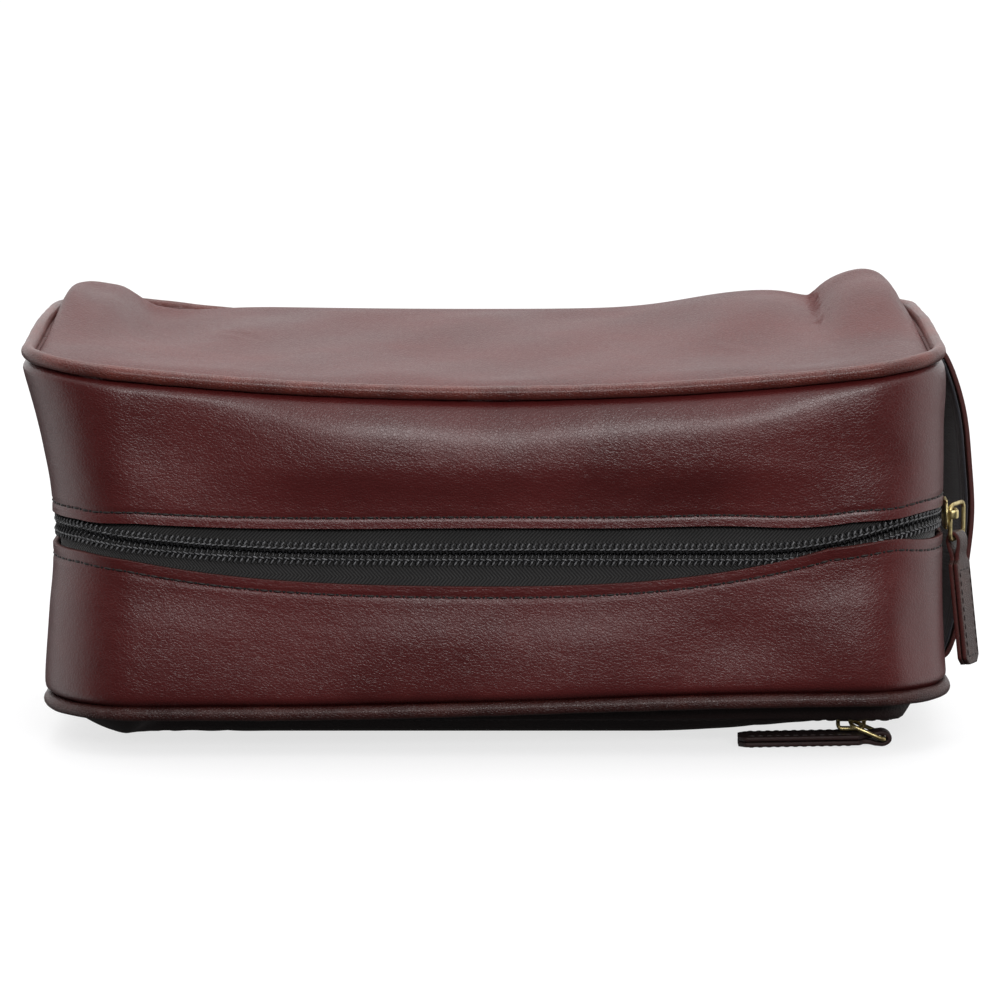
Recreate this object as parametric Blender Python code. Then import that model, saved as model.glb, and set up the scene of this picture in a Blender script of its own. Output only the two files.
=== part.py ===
"""A leather shaving kit bag, lying on its back panel with its zip towards -Y.

Every shape is worked out in millimetres and put into Blender in metres. +X is the bag's right end, where the
carrying handle is, -Y the side with the main zip, and +Z up, towards the front panel. The zip side opens as a
mouth: the strip above the zip and the front part of the front panel swing up about a line across the front panel.
"""

import math

import bmesh
import bpy
import numpy as np
from mathutils import Matrix, Vector

MM = 0.001

# The shell's plan, on the middle of the leather of the gusset.
HALF_LENGTH = 127.9
HALF_DEPTH = 67.9
CORNER = 26.9
LEATHER = 1.6
GAP = 0.3

# The mouth: everything in front of this line and above the zip swings about it.
SPLIT_Y = -20.0
SPLIT_GAP = 0.6
MOUTH_AXIS_Z = 114.5

# Heights of the two piped seams.
TOP_SEAM = 111.0
TOP_SAG_FRONT = 9.5
TOP_SAG_REAR = 2.0
BASE_SEAM = 12.0
BASE_SEAM_LIFT = 4.0

# Piping: a leather strip sewn round a cord, with its two lips in the seam.
PIPE_R = 2.3
PIPE_WALL = 0.8
PIPE_SLIT = 0.3
PIPE_LIPS = 5.0
CORD_R = 1.2

# Zips, measured from the middle of the chain: across it, and out from it.
ZIP_IN = 0.9
CHAIN_Z = 64.6
COIL_WIDTH = 2.45
COIL_HALF_THICK = 1.1
COIL_INNER = 0.45
TAPE_START = 3.2
TAPE_THICK = 0.7
TAPE_OVERLAP = 6.0
SLIDER_LENGTH = 11.0
SLIDER_HALF_WIDTH = 4.6
SLIDER_CHANNEL = 2.0
SLIDER_PLATE = 0.9
BAIL_TUNNEL = 2.1
BAIL_THICK = 1.1
BAIL_WIDTH = 2.4
RING_WIRE_R = 0.6
MAIN_PULL_LENGTH = 36.0
POCKET_PULL_LENGTH = 41.0
PULL_NECK = 3.0
PULL_WIDTH = 9.5
PULL_THICK = 3.2

# The main slider is at its closed stop, just past the right front corner.
CORNER_X = HALF_LENGTH - CORNER
CORNER_Y = -(HALF_DEPTH - CORNER)
ZIP_END_Y = -21.5

# The carrying handle across the right end.
HANDLE_Y = (-10.0, 17.0)
HANDLE_Z = (17.8, 107.6)
HANDLE_BOW = 9.0

# The pocket zip in the back panel.
POCKET_Y = -53.0
POCKET_HALF_SLOT = 5.2
POCKET_X = (-84.0, 111.0)
POCKET_SLIDER_X = 102.5
POCKET_CHAIN_Z = 10.4

LINING = 0.6
LINING_IN = 2.3

LEATHER_COLOUR = (0.115, 0.036, 0.030, 1.0)
PIPING_COLOUR = (0.150, 0.045, 0.034, 1.0)
BLACK_CLOTH = (0.018, 0.018, 0.019, 1.0)
BLACK_NYLON = (0.012, 0.012, 0.013, 1.0)
LINING_COLOUR = (0.060, 0.045, 0.040, 1.0)
BRASS_COLOUR = (0.420, 0.330, 0.180, 1.0)
CORD_COLOUR = (0.550, 0.520, 0.450, 1.0)


# ---------------------------------------------------------------- blender helpers


def clear_scene():
    for obj in list(bpy.data.objects):
        bpy.data.objects.remove(obj)


def material(name, colour, roughness, metallic=0.0):
    found = bpy.data.materials.get(name)
    if found:
        return found
    made = bpy.data.materials.new(name)
    made.use_nodes = True
    shader = made.node_tree.nodes["Principled BSDF"]
    shader.inputs["Base Color"].default_value = colour
    shader.inputs["Roughness"].default_value = roughness
    shader.inputs["Metallic"].default_value = metallic
    return made


def leather():
    return material("leather", LEATHER_COLOUR, 0.42)


def piping_leather():
    return material("piping_leather", PIPING_COLOUR, 0.45)


def black_cloth():
    return material("zip_tape", BLACK_CLOTH, 0.85)


def black_nylon():
    return material("zip_coil", BLACK_NYLON, 0.35)


def lining_cloth():
    return material("lining", LINING_COLOUR, 0.9)


def brass():
    return material("antique_brass", BRASS_COLOUR, 0.38, 1.0)


def cord_cotton():
    return material("piping_cord", CORD_COLOUR, 0.9)


def add(name, mesh, look, smooth=True):
    """Links a named object that holds this mesh and material."""
    mesh.materials.append(look)
    if smooth:
        mesh.shade_smooth()
        mesh.set_sharp_from_angle(angle=math.radians(35))
    obj = bpy.data.objects.new(name, mesh)
    bpy.context.scene.collection.objects.link(obj)
    return obj


def mesh_of(name, bm):
    bmesh.ops.recalc_face_normals(bm, faces=bm.faces)
    mesh = bpy.data.meshes.new(name)
    bm.to_mesh(mesh)
    bm.free()
    return mesh


def sweep(name, rings, look, closed=False):
    """A solid through rings of points in millimetres, joined in order; an open one has its two end rings filled."""
    bm = bmesh.new()
    rows = [[bm.verts.new(Vector(p) * MM) for p in ring] for ring in rings]
    pairs = list(zip(rows, rows[1:] + rows[:1])) if closed else list(zip(rows, rows[1:]))
    for near, far in pairs:
        for k in range(len(near)):
            after = (k + 1) % len(near)
            bm.faces.new((near[k], near[after], far[after], far[k]))
    if not closed:
        bm.faces.new(rows[0])
        bm.faces.new(rows[-1])
    return add(name, mesh_of(name, bm), look)


def sheet(name, height, rows, thickness, look, side=1):
    """A panel of this thickness on one side of the surface z = height(x, y), from rows of (x, y) points."""
    bm = bmesh.new()
    grid = [[bm.verts.new(Vector((x, y, height(x, y))) * MM) for x, y in row] for row in rows]
    for near, far in zip(grid, grid[1:]):
        for k in range(len(near) - 1):
            bm.faces.new((near[k], near[k + 1], far[k + 1], far[k]))
    bm.normal_update()
    bmesh.ops.solidify(bm, geom=bm.faces[:], thickness=-side * thickness * MM)
    return add(name, mesh_of(name, bm), look)


def block(name, low, high, look, bevel=0.0, place=None):
    """A box between two corners in millimetres, with its edges rounded, put in place by a matrix."""
    bm = bmesh.new()
    bmesh.ops.create_cube(bm, size=1.0)
    size = Vector(high) - Vector(low)
    centre = (Vector(high) + Vector(low)) / 2
    bmesh.ops.scale(bm, vec=size * MM, verts=bm.verts)
    bmesh.ops.translate(bm, vec=centre * MM, verts=bm.verts)
    if bevel:
        bmesh.ops.bevel(bm, geom=bm.edges[:], offset=bevel * MM, segments=1, affect="EDGES")
    if place is not None:
        bm.transform(place)
    return add(name, mesh_of(name, bm), look)


def cutter(obj):
    obj.hide_render = True
    obj.display_type = "WIRE"
    return obj


def boolean(obj, other, operation):
    """Joins or cuts with another object, which stays as a wire helper."""
    modifier = obj.modifiers.new(operation.lower(), "BOOLEAN")
    modifier.operation = operation
    modifier.object = cutter(other)


# ---------------------------------------------------------------- the shell's shape


def ease(low, high, value):
    """0 before low, 1 after high, and a smooth rise between them."""
    t = min(1.0, max(0.0, (value - low) / (high - low)))
    return t * t * (3 - 2 * t)


def arch(x, half):
    """1 in the middle of the bag and 0 at this distance from it."""
    return max(0.0, 1 - (x / half) ** 2)


def top_seam(x, y):
    """Height of the front panel's piped seam: it sags between the corners, most at the zip side."""
    front = (HALF_DEPTH - y) / (2 * HALF_DEPTH)
    return TOP_SEAM - arch(x, 130) * (TOP_SAG_REAR + (TOP_SAG_FRONT - TOP_SAG_REAR) * front)


def base_seam(x, y):
    """Height of the back panel's piped seam, which lifts towards the right end."""
    front = (HALF_DEPTH - y) / (2 * HALF_DEPTH)
    return BASE_SEAM + BASE_SEAM_LIFT * ease(-70, 110, x) * (0.4 + 0.6 * front)


def chain_height(x, y):
    """Height of the main zip's chain: low along the front, up round the right corner, level where its slider runs."""
    dip = CHAIN_Z - 7.8
    if x > 0:
        t = min(1.0, max(0.0, (x - 70) / 54))
        return dip + 7.8 * t**3 * (4 - 3 * t)
    return dip + 5.4 * min(1.0, max(0.0, -(x + 24) / 95)) ** 2.3


def lower_edge(x, y):
    """Height of the leather's edge below the main zip."""
    return chain_height(x, y) - 5.4 - 3.8 * arch(x, 104) + 2.4 * math.exp(-(((x - 80) / 24) ** 2))


def upper_edge(x, y):
    """Height of the leather's edge above the main zip."""
    return chain_height(x, y) + 5.4 + 2.2 * arch(x, 104) + 1.5 * math.exp(-(((x - 70) / 25) ** 2))


def end_bulge(x, share):
    """How far the ends of the bag stand out from the plan at this share of the wall's height."""
    above = max(0.0, 2 * share - 1)
    below = max(0.0, 1 - 2 * share)
    if x > 0:
        return ease(60, HALF_LENGTH, x) * (1.4 * below**3 - 1.2 * above**3)
    return -ease(60, HALF_LENGTH, -x) * (-5.6 + 1.8 * below**2 + 6.8 * above**2)


def wall_point(station, z, out):
    """A point of the gusset at height z, this far out from the middle of its leather."""
    x, y, nx, ny = station
    low, high = base_seam(x, y), top_seam(x, y)
    share = min(1.0, max(0.0, (z - low - 4) / (high - low - 8)))
    return (x + nx * out + end_bulge(x, share), y + ny * out, z)


def straight(start, end, count):
    """Stations along one side of the plan, without its last point. The outward normal is to the right of the way."""
    run = np.array(end, float) - np.array(start, float)
    normal = np.array((run[1], -run[0])) / np.linalg.norm(run)
    return [(*(np.array(start) + run * k / count), *normal) for k in range(count)]


def arc(cx, cy, start_deg, count):
    """Stations round one corner of the plan, counter-clockwise, without its last point."""
    made = []
    for k in range(count):
        a = math.radians(start_deg + 90 * k / count)
        made.append((cx + CORNER * math.cos(a), cy + CORNER * math.sin(a), math.cos(a), math.sin(a)))
    return made


def rear_stations(y_start):
    """Round the rear, from the right end at y_start to the left end at y_start."""
    cx, cy = CORNER_X, -CORNER_Y
    made = straight((HALF_LENGTH, y_start), (HALF_LENGTH, cy), 3)
    made += arc(cx, cy, 0, 4)
    made += straight((cx, HALF_DEPTH), (-cx, HALF_DEPTH), 7)
    made += arc(-cx, cy, 90, 4)
    made += straight((-HALF_LENGTH, cy), (-HALF_LENGTH, y_start), 3)
    return made + [(-HALF_LENGTH, y_start, -1.0, 0.0)]


def front_stations(y_left, y_right, arc_steps=6):
    """Round the zip side, from the left end at y_left to the right end at y_right."""
    cx, cy = CORNER_X, CORNER_Y
    made = straight((-HALF_LENGTH, y_left), (-HALF_LENGTH, cy), 1)
    made += arc(-cx, cy, 180, arc_steps)
    made += straight((-cx, -HALF_DEPTH), (cx, -HALF_DEPTH), 12)
    made += arc(cx, cy, 270, arc_steps)
    if y_right > cy:
        made += straight((HALF_LENGTH, cy), (HALF_LENGTH, y_right), 1)
    return made + [(HALF_LENGTH, y_right, 1.0, 0.0)]


def full_loop():
    return rear_stations(SPLIT_Y)[:-1] + front_stations(SPLIT_Y, SPLIT_Y)[:-1]


def band(name, stations, low, high, inner, outer, look, rows=3):
    """A strip of the wall between two height functions, with its inner and outer face this far out."""
    rings = []
    for station in stations:
        x, y = station[:2]
        heights = [low(x, y) + (high(x, y) - low(x, y)) * k / (rows - 1) for k in range(rows)]
        ring = [wall_point(station, z, outer) for z in heights]
        ring += [wall_point(station, z, inner) for z in reversed(heights)]
        rings.append(ring)
    return sweep(name, rings, look)


def plan_rows(y_values, inset, columns, share, rim=0.0):
    """Rows of (x, y) points that fill the plan, this far inside its outline at this share of the wall's height."""
    made = []
    for y in y_values:
        past = max(0.0, abs(y) - abs(CORNER_Y))
        radius = CORNER - inset
        half = CORNER_X + math.sqrt(max(0.0, radius**2 - past**2))
        across = list(np.linspace(rim - half, half - rim, columns))
        if rim:
            across = [-half, *across, half]
        made.append([(x + end_bulge(x, share), y) for x in across])
    return made


def rim_distance(x, y):
    """Distance from a point to the rim of the back panel."""
    past_x, past_y = abs(x) - CORNER_X, abs(y) - abs(CORNER_Y)
    if past_x > 0 and past_y > 0:
        return CORNER - 3 - math.hypot(past_x, past_y)
    return CORNER - 3 - max(past_x, past_y)


def edge_rows(inset, count=4):
    """Distances from the middle line to rows that follow a corner's arc, outermost first."""
    radius = CORNER - inset
    return [abs(CORNER_Y) + radius * math.sin(math.radians(a)) for a in np.linspace(84, 12, count)]


# ---------------------------------------------------------------- panels


def front_height(x, y):
    """Height of the front panel: it sags in the middle and stands up in its two rear corners."""
    sag = 3.0 * arch(x, 118) * arch(y - 5, 62)
    humps = 7.0 * math.exp(-(((abs(x) - 108) / 20) ** 2) - ((y - 48) / 16) ** 2)
    return top_seam(x, y) - 0.5 - sag + humps


def back_height(x, y):
    """Height of the back panel's outer face: flat on the surface, rising to its seam and along the pocket zip."""
    from_rim = max(0.0, rim_distance(x - end_bulge(x, 0), y))
    rise = max(0.0, 1 - from_rim / 30) ** 2
    lift = 4.2 * ease(45, 120, x)
    seam = base_seam(x, y) - 1.6
    bowl = lift + (seam - lift) * rise
    shelf = POCKET_CHAIN_Z - ZIP_IN - LEATHER / 2
    along = ease(-104, -91, x) * (1 - ease(115.5, 121.0, x))
    across = ease(-64.6, -60.7, y) * (1 - ease(-46.4, -32, y))
    return bowl + (shelf - bowl) * along * across


def make_panels():
    split = SPLIT_GAP / 2
    front_y = [-y for y in edge_rows(3.0)] + [-34, SPLIT_Y - split]
    sheet("mouth_panel", front_height, plan_rows(front_y, 3.0, 15, 1), LEATHER, leather())
    rear_y = [SPLIT_Y + split, -8, 8, 24, 36, *reversed(edge_rows(3.0))]
    sheet("front_panel", front_height, plan_rows(rear_y, 3.0, 17, 1), LEATHER, leather())

    back_y = [-64.7, -63.6, -60.6, -53, -46.4, -43, -40, -36, -32, -16, 8, 34, 40, *reversed(edge_rows(3.0, 4))]
    back = sheet("back_panel", back_height, plan_rows(back_y, 3.0, 31, 0, 1.4), LEATHER, leather())
    slot = block(
        "pocket_slot_cutter",
        (POCKET_X[0], POCKET_Y - POCKET_HALF_SLOT, -5),
        (POCKET_X[1], POCKET_Y + POCKET_HALF_SLOT, 30),
        leather(),
    )
    boolean(back, slot, "DIFFERENCE")


def make_gusset():
    """The leather wall: one strip round the rear, and one on each side of the main zip."""
    clear = PIPE_R + GAP
    rear = rear_stations(SPLIT_Y + SPLIT_GAP / 2)
    front = front_stations(SPLIT_Y - SPLIT_GAP / 2, SPLIT_Y - SPLIT_GAP / 2)

    def above_base(x, y):
        return base_seam(x, y) + clear

    def below_top(x, y):
        return top_seam(x, y) - clear

    half = LEATHER / 2
    band("base_gusset", rear, above_base, below_top, -half, half, leather(), rows=5)
    band("lower_zip_band", front, above_base, lower_edge, -half, half, leather(), rows=3)
    band("upper_zip_band", front, upper_edge, below_top, -half, half, leather(), rows=4)


# ---------------------------------------------------------------- piping


def piping_profile():
    """(along the lips, across them) round the cover: an open tube with two lips, the cord's room inside it."""
    side = PIPE_SLIT / 2 + PIPE_WALL
    inner = PIPE_R - PIPE_WALL
    a, b = math.asin(side / PIPE_R), math.asin(PIPE_SLIT / 2 / inner)
    points = [(PIPE_R + PIPE_LIPS, -PIPE_SLIT / 2), (PIPE_R + PIPE_LIPS, -side)]
    points += [(PIPE_R * math.cos(t), -PIPE_R * math.sin(t)) for t in np.linspace(a, 2 * math.pi - a, 9)]
    points += [(PIPE_R + PIPE_LIPS, side), (PIPE_R + PIPE_LIPS, PIPE_SLIT / 2)]
    points += [(inner * math.cos(t), inner * math.sin(t)) for t in np.linspace(b, 2 * math.pi - b, 7)]
    return points


def cord_profile():
    return [(CORD_R * math.cos(t), CORD_R * math.sin(t)) for t in np.linspace(0, 2 * math.pi, 7)[:-1]]


def piping(name, stations, height, down, profile, look, closed=False):
    """Carries a profile along a seam with its lips turned into the bag, down or up at half a right angle."""
    turn = -1 if down else 1
    c = math.sqrt(0.5)
    rings = []
    for station in stations:
        z = height(*station[:2])
        ring = []
        for along, across in profile:
            out = -c * along - turn * c * across
            up = turn * c * along - c * across
            ring.append(wall_point((*station[:2], *station[2:]), z, 0)[:2] + (z + up,))
            x, y, _ = ring[-1]
            ring[-1] = (x + station[2] * out, y + station[3] * out, z + up)
        rings.append(ring)
    return sweep(name, rings, look, closed)


def make_piping():
    rear = rear_stations(SPLIT_Y + SPLIT_GAP / 2)
    front = front_stations(SPLIT_Y - SPLIT_GAP / 2, SPLIT_Y - SPLIT_GAP / 2, arc_steps=5)
    for name, stations, height, down, closed in (
        ("back_piping", full_loop(), base_seam, False, True),
        ("front_piping", rear, top_seam, True, False),
        ("mouth_piping", front, top_seam, True, False),
    ):
        piping(name + "_cover", stations, height, down, piping_profile(), piping_leather(), closed)
        piping(name + "_cord", stations, height, down, cord_profile(), cord_cotton(), closed)


# ---------------------------------------------------------------- main zip


def make_main_zip():
    """Two tapes and two coils round the zip side, closed in the middle, with their stops and end tabs."""
    tape_out = -ZIP_IN - 0.2
    tape_in = tape_out - TAPE_THICK
    tape_run = front_stations(ZIP_END_Y, ZIP_END_Y, arc_steps=10)
    coil_run = front_stations(-31.0, CORNER_Y + 2.0, arc_steps=10)

    def at(offset):
        return lambda x, y: chain_height(x, y) + offset

    band(
        "upper_zip_tape", tape_run, at(TAPE_START), lambda x, y: upper_edge(x, y) + TAPE_OVERLAP,
        tape_in, tape_out, black_cloth(), rows=2,
    )
    band(
        "lower_zip_tape", tape_run, lambda x, y: lower_edge(x, y) - TAPE_OVERLAP, at(-TAPE_START),
        tape_in, tape_out, black_cloth(), rows=2,
    )
    for name, sign in (("upper", 1), ("lower", -1)):
        near, far = sign * COIL_INNER, sign * (COIL_INNER + COIL_WIDTH)
        band(
            name + "_zip_coil", coil_run, at(min(near, far)), at(max(near, far)),
            -ZIP_IN - COIL_HALF_THICK, -ZIP_IN + COIL_HALF_THICK, black_nylon(), rows=2,
        )

    out = HALF_LENGTH - ZIP_IN
    for name, sign in (("upper", 1), ("lower", -1)):
        low, high = sorted((CHAIN_Z + sign * 1.7, CHAIN_Z + sign * 3.6))
        block(f"zip_top_stop_{name}", (out + GAP, -34.2, low), (out + 1.2, -32.2, high), brass(), 0.2)
    left = chain_height(-HALF_LENGTH, ZIP_END_Y)
    left_out = -out + 5.6
    block(
        "zip_bottom_stop", (left_out - 1.3, -30.6, left - 3.0), (left_out + 1.3, -28.4, left + 3.0), brass(), 0.25
    )
    for name, x, z in (("right", HALF_LENGTH, CHAIN_Z), ("left", -HALF_LENGTH + 5.6, left)):
        block(f"zip_end_tab_{name}", (x - 0.75, -27.0, z - 4.8), (x + 0.55, SPLIT_Y - 0.9, z + 4.8), leather(), 0.2)


# ---------------------------------------------------------------- sliders and pulls


def plate_outline():
    """A slider's plate, along the zip and across it: wide shoulders where the two sides part, a narrower tail."""
    half, wide = SLIDER_LENGTH / 2, SLIDER_HALF_WIDTH
    side = [(-half, wide * 0.62), (-half + 1.6, wide * 0.86), (0.4, wide * 0.90), (half - 2.4, wide)]
    side += [(half - 0.7, wide * 0.86), (half, wide * 0.5)]
    return side + [(u, -v) for u, v in reversed(side)]


def extruded(name, outline, low, high, look, place):
    """A flat outline in (u, v), extruded between two heights and put in place."""
    bm = bmesh.new()
    face = bm.faces.new([bm.verts.new(Vector((u, v, low)) * MM) for u, v in outline])
    made = bmesh.ops.extrude_face_region(bm, geom=[face])
    moved = [v for v in made["geom"] if isinstance(v, bmesh.types.BMVert)]
    bmesh.ops.translate(bm, verts=moved, vec=(0, 0, (high - low) * MM))
    bm.transform(place)
    return add(name, mesh_of(name, bm), look)


def make_slider(name, place):
    """A slider body about its own centre: u along the zip to its open end, v across it, w outwards."""
    top = SLIDER_CHANNEL + SLIDER_PLATE
    body = extruded(name + "_body", plate_outline(), SLIDER_CHANNEL, top, brass(), place)
    back = extruded(name + "_back_plate", plate_outline(), -top, -SLIDER_CHANNEL, brass(), place)
    post = block(name + "_post", (2.6, -0.3, -top + 0.2), (4.8, 0.3, top - 0.2), brass(), place=place)
    helpers = [back, post]
    for sign in (1, -1):
        v0, v1 = sorted((sign * (SLIDER_HALF_WIDTH * 0.9 - 0.75), sign * SLIDER_HALF_WIDTH * 0.9))
        lip = block(f"{name}_lip_{sign + 1}", (-3.8, v0, 1.3), (2.0, v1, top - 0.2), brass(), place=place)
        helpers.append(lip)
    for helper in helpers:
        boolean(body, helper, "UNION")

    foot, crown = top + GAP, top + BAIL_TUNNEL + BAIL_THICK
    span, bar = 4.2, BAIL_THICK
    outer = [(-span, foot), (-span, crown - 1.0), (-span + 1.0, crown), (span - 1.0, crown), (span, crown - 1.0), (span, foot)]
    inner = [(span - bar, foot), (span - bar, crown - bar - 0.5), (span - bar - 0.5, crown - bar)]
    inner += [(-u, w) for u, w in reversed(inner)]
    bm = bmesh.new()
    half = BAIL_WIDTH / 2
    face = bm.faces.new([bm.verts.new(Vector((u, -half, w)) * MM) for u, w in outer + inner])
    made = bmesh.ops.extrude_face_region(bm, geom=[face])
    moved = [v for v in made["geom"] if isinstance(v, bmesh.types.BMVert)]
    bmesh.ops.translate(bm, verts=moved, vec=(0, BAIL_WIDTH * MM, 0))
    bm.transform(place)
    add(name + "_bail", mesh_of(name + "_bail", bm), brass())


RING_HALF_WIDE = 4.9
RING_HALF_TALL = 5.0


def make_ring(name, centre, across, along, inner_wire=RING_WIRE_R):
    """A round-cornered wire loop in the plane of two unit vectors, round its centre."""
    corner = 1.8
    path = []
    for cu, cv, start in ((1, 1, 0), (-1, 1, 90), (-1, -1, 180), (1, -1, 270)):
        for k in range(4):
            a = math.radians(start + 30 * k)
            u = cu * (RING_HALF_WIDE - corner) + corner * math.cos(a)
            v = cv * (RING_HALF_TALL - corner) + corner * math.sin(a)
            path.append((u, v, math.cos(a), math.sin(a)))
    across, along = Vector(across), Vector(along)
    normal = across.cross(along).normalized()
    rings = []
    for u, v, nu, nv in path:
        spine = Vector(centre) + across * u + along * v
        out = (across * nu + along * nv).normalized()
        rings.append(
            [spine + (out * math.cos(t) + normal * math.sin(t)) * inner_wire for t in np.linspace(0, 2 * math.pi, 9)[:-1]]
        )
    return sweep(name, rings, brass(), closed=True)


def pull_profile(length):
    """(out, down) round the side of a pull: a loop over the ring's bar, and two plies sewn below it."""
    half = PULL_THICK / 2
    loop = half + 0.75
    points = [(half, length - 1.0), (half - 0.3, length), (-half + 0.3, length), (-half, length - 1.0)]
    points += [(-half, 4.9), (-half - 0.5, 1.5)]
    points += [(-loop * math.cos(t), -loop * math.sin(t)) for t in np.linspace(0, math.pi, 7)]
    return points + [(half + 0.5, 1.5), (half, 4.9)]


def make_pull(name, bar, down, width_dir, length):
    """A leather pull: one strip folded round the ring's bar, narrower there, and sewn to itself below it."""
    down, width_dir = Vector(down).normalized(), Vector(width_dir).normalized()
    out = width_dir.cross(down).normalized()
    half, shoulder = PULL_THICK / 2, 6.2
    wide = PULL_WIDTH / 2
    rings = []
    for w, shrink, full in (
        (-wide, 0.35, False), (-wide + 0.5, 0.0, False), (-PULL_NECK - 0.4, 0.0, False), (-PULL_NECK, 0.0, True),
        (PULL_NECK, 0.0, True), (PULL_NECK + 0.4, 0.0, False), (wide - 0.5, 0.0, False), (wide, 0.35, False),
    ):
        ring = []
        for o, d in pull_profile(length):
            side = o
            if not full and d < 5:
                side = max(-half, min(half, 0.68 * o))
                d = shoulder + 0.12 * (d + 2.35) + shrink
            elif d > 10:
                d -= shrink
            side -= math.copysign(shrink, side)
            ring.append(Vector(bar) + out * side + down * d + width_dir * w)
        rings.append(ring)
    tab = sweep(name, rings, leather())
    eye = RING_WIRE_R + 0.45
    turns = np.linspace(0, 2 * math.pi, 11)[:-1]
    hole = [
        [Vector(bar) + out * (eye * math.cos(t)) + down * (eye * math.sin(t)) + width_dir * w for t in turns]
        for w in (-wide, wide)
    ]
    boolean(tab, sweep(name + "_eye_cutter", hole, leather()), "DIFFERENCE")


def frame_matrix(origin, u, v, w):
    """A matrix that carries (u, v, w) axes to the given directions at this origin, in millimetres."""
    made = Matrix((Vector(u), Vector(v), Vector(w))).transposed().to_4x4()
    made.translation = Vector(origin) * MM
    return made


def make_main_pull():
    """The main slider on the right end, its ring hanging in the bail's tunnel, and the leather pull."""
    centre = (HALF_LENGTH - ZIP_IN, CORNER_Y, CHAIN_Z)
    make_slider("main_slider", frame_matrix(centre, (0, 1, 0), (0, 0, 1), (1, 0, 0)))
    tunnel = Vector(centre) + Vector((SLIDER_CHANNEL + SLIDER_PLATE + BAIL_TUNNEL / 2, 0, 0))
    swing = math.radians(62)
    across = Vector((math.cos(swing), math.sin(swing), 0))
    middle = tunnel + across * RING_HALF_WIDE - Vector((0, 0, RING_HALF_TALL - BAIL_WIDTH / 2 - RING_WIRE_R - 0.3))
    make_ring("main_pull_ring", middle, across, (0, 0, 1))
    bar = middle - Vector((0, 0, RING_HALF_TALL))
    lean = math.radians(7)
    outward = Vector((math.sin(swing), -math.cos(swing), 0))
    down = Vector((0, 0, -1)) * math.cos(lean) + outward * math.sin(lean)
    make_pull("main_pull_tab", bar, down, across, MAIN_PULL_LENGTH)


def make_pocket_pull():
    """The pocket slider under the back panel, its ring tipped to the right, and its pull lying on the surface."""
    centre = Vector((POCKET_SLIDER_X, POCKET_Y, POCKET_CHAIN_Z))
    make_slider("pocket_slider", frame_matrix(centre, (1, 0, 0), (0, -1, 0), (0, 0, -1)))
    tunnel = centre - Vector((0, 0, SLIDER_CHANNEL + SLIDER_PLATE + BAIL_TUNNEL / 2))
    lowest = PULL_THICK / 2 + 0.8
    tip = math.asin((tunnel.z - lowest) / (2 * RING_HALF_TALL))
    reach = Vector((math.cos(tip), 0, -math.sin(tip)))
    middle = tunnel + reach * RING_HALF_TALL
    make_ring("pocket_pull_ring", middle, (0, 1, 0), reach)
    bar = middle + reach * RING_HALF_TALL
    drop = math.asin((bar.z - PULL_THICK / 2 - 0.05) / POCKET_PULL_LENGTH)
    make_pull("pocket_pull_tab", bar, (-math.cos(drop), 0, -math.sin(drop)), (0, 1, 0), POCKET_PULL_LENGTH)


# ---------------------------------------------------------------- pocket


def pocket_strip(name, x_range, y_range, z_range, look, bevel=0.0):
    """A bar along the pocket zip, measured from the middle of its chain."""
    low = (x_range[0], POCKET_Y + y_range[0], POCKET_CHAIN_Z + z_range[0])
    high = (x_range[1], POCKET_Y + y_range[1], POCKET_CHAIN_Z + z_range[1])
    block(name, low, high, look, bevel)


def make_pocket():
    """The zip in the back panel's slot, its stops, and the cloth pouch above it."""
    x0, x1 = POCKET_X
    thick = COIL_HALF_THICK
    for name, sign in (("front", -1), ("rear", 1)):
        tape = sorted((sign * TAPE_START, sign * (POCKET_HALF_SLOT + 0.9)))
        pocket_strip(f"pocket_tape_{name}", (x0 - 4, x1 - 3.5), tape, (0.2, 0.9), black_cloth())
        coil = sorted((sign * COIL_INNER, sign * (COIL_INNER + COIL_WIDTH)))
        pocket_strip(f"pocket_coil_{name}", (x0 + 6, POCKET_SLIDER_X + 1.8), coil, (-thick, thick), black_nylon())
        stop = sorted((sign * 1.7, sign * 3.6))
        pocket_strip(f"pocket_top_stop_{name}", (109.0, 110.2), stop, (-1.2, -0.3), brass(), 0.2)
    pocket_strip("pocket_bottom_stop", (x0 + 3.2, x0 + 5.6), (-3.0, 3.0), (-1.2, 1.2), brass(), 0.25)

    wall, room = 0.5, 5.4
    mouth_y, lip_y, rim_y, bend_y, fold_y = POCKET_Y - 5.6, POCKET_Y + 5.6, -44.3, -26.0, 34.0
    floor = POCKET_CHAIN_Z + 1.3
    top = floor + room
    rings = []
    for x in (-96.0, -40.0, 30.0, 100.0):
        deep = 2.6 + 5.2 * ease(45, 120, x)
        outer = [(mouth_y, floor), (mouth_y, top), (-30.0, top), (fold_y, deep + room)]
        outer += [(fold_y, deep), (bend_y, deep), (rim_y, floor), (lip_y, floor)]
        inner = [(lip_y, floor + wall), (rim_y + 0.2, floor + wall), (bend_y + 0.3, deep + wall)]
        inner += [(fold_y - wall, deep + wall), (fold_y - wall, deep + room - wall), (-30.0, top - wall)]
        inner += [(mouth_y + wall, top - wall), (mouth_y + wall, floor)]
        rings.append([(x, y, z) for y, z in outer + inner])
    sweep("pocket_bag", rings, lining_cloth())


# ---------------------------------------------------------------- handle and lining


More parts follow.
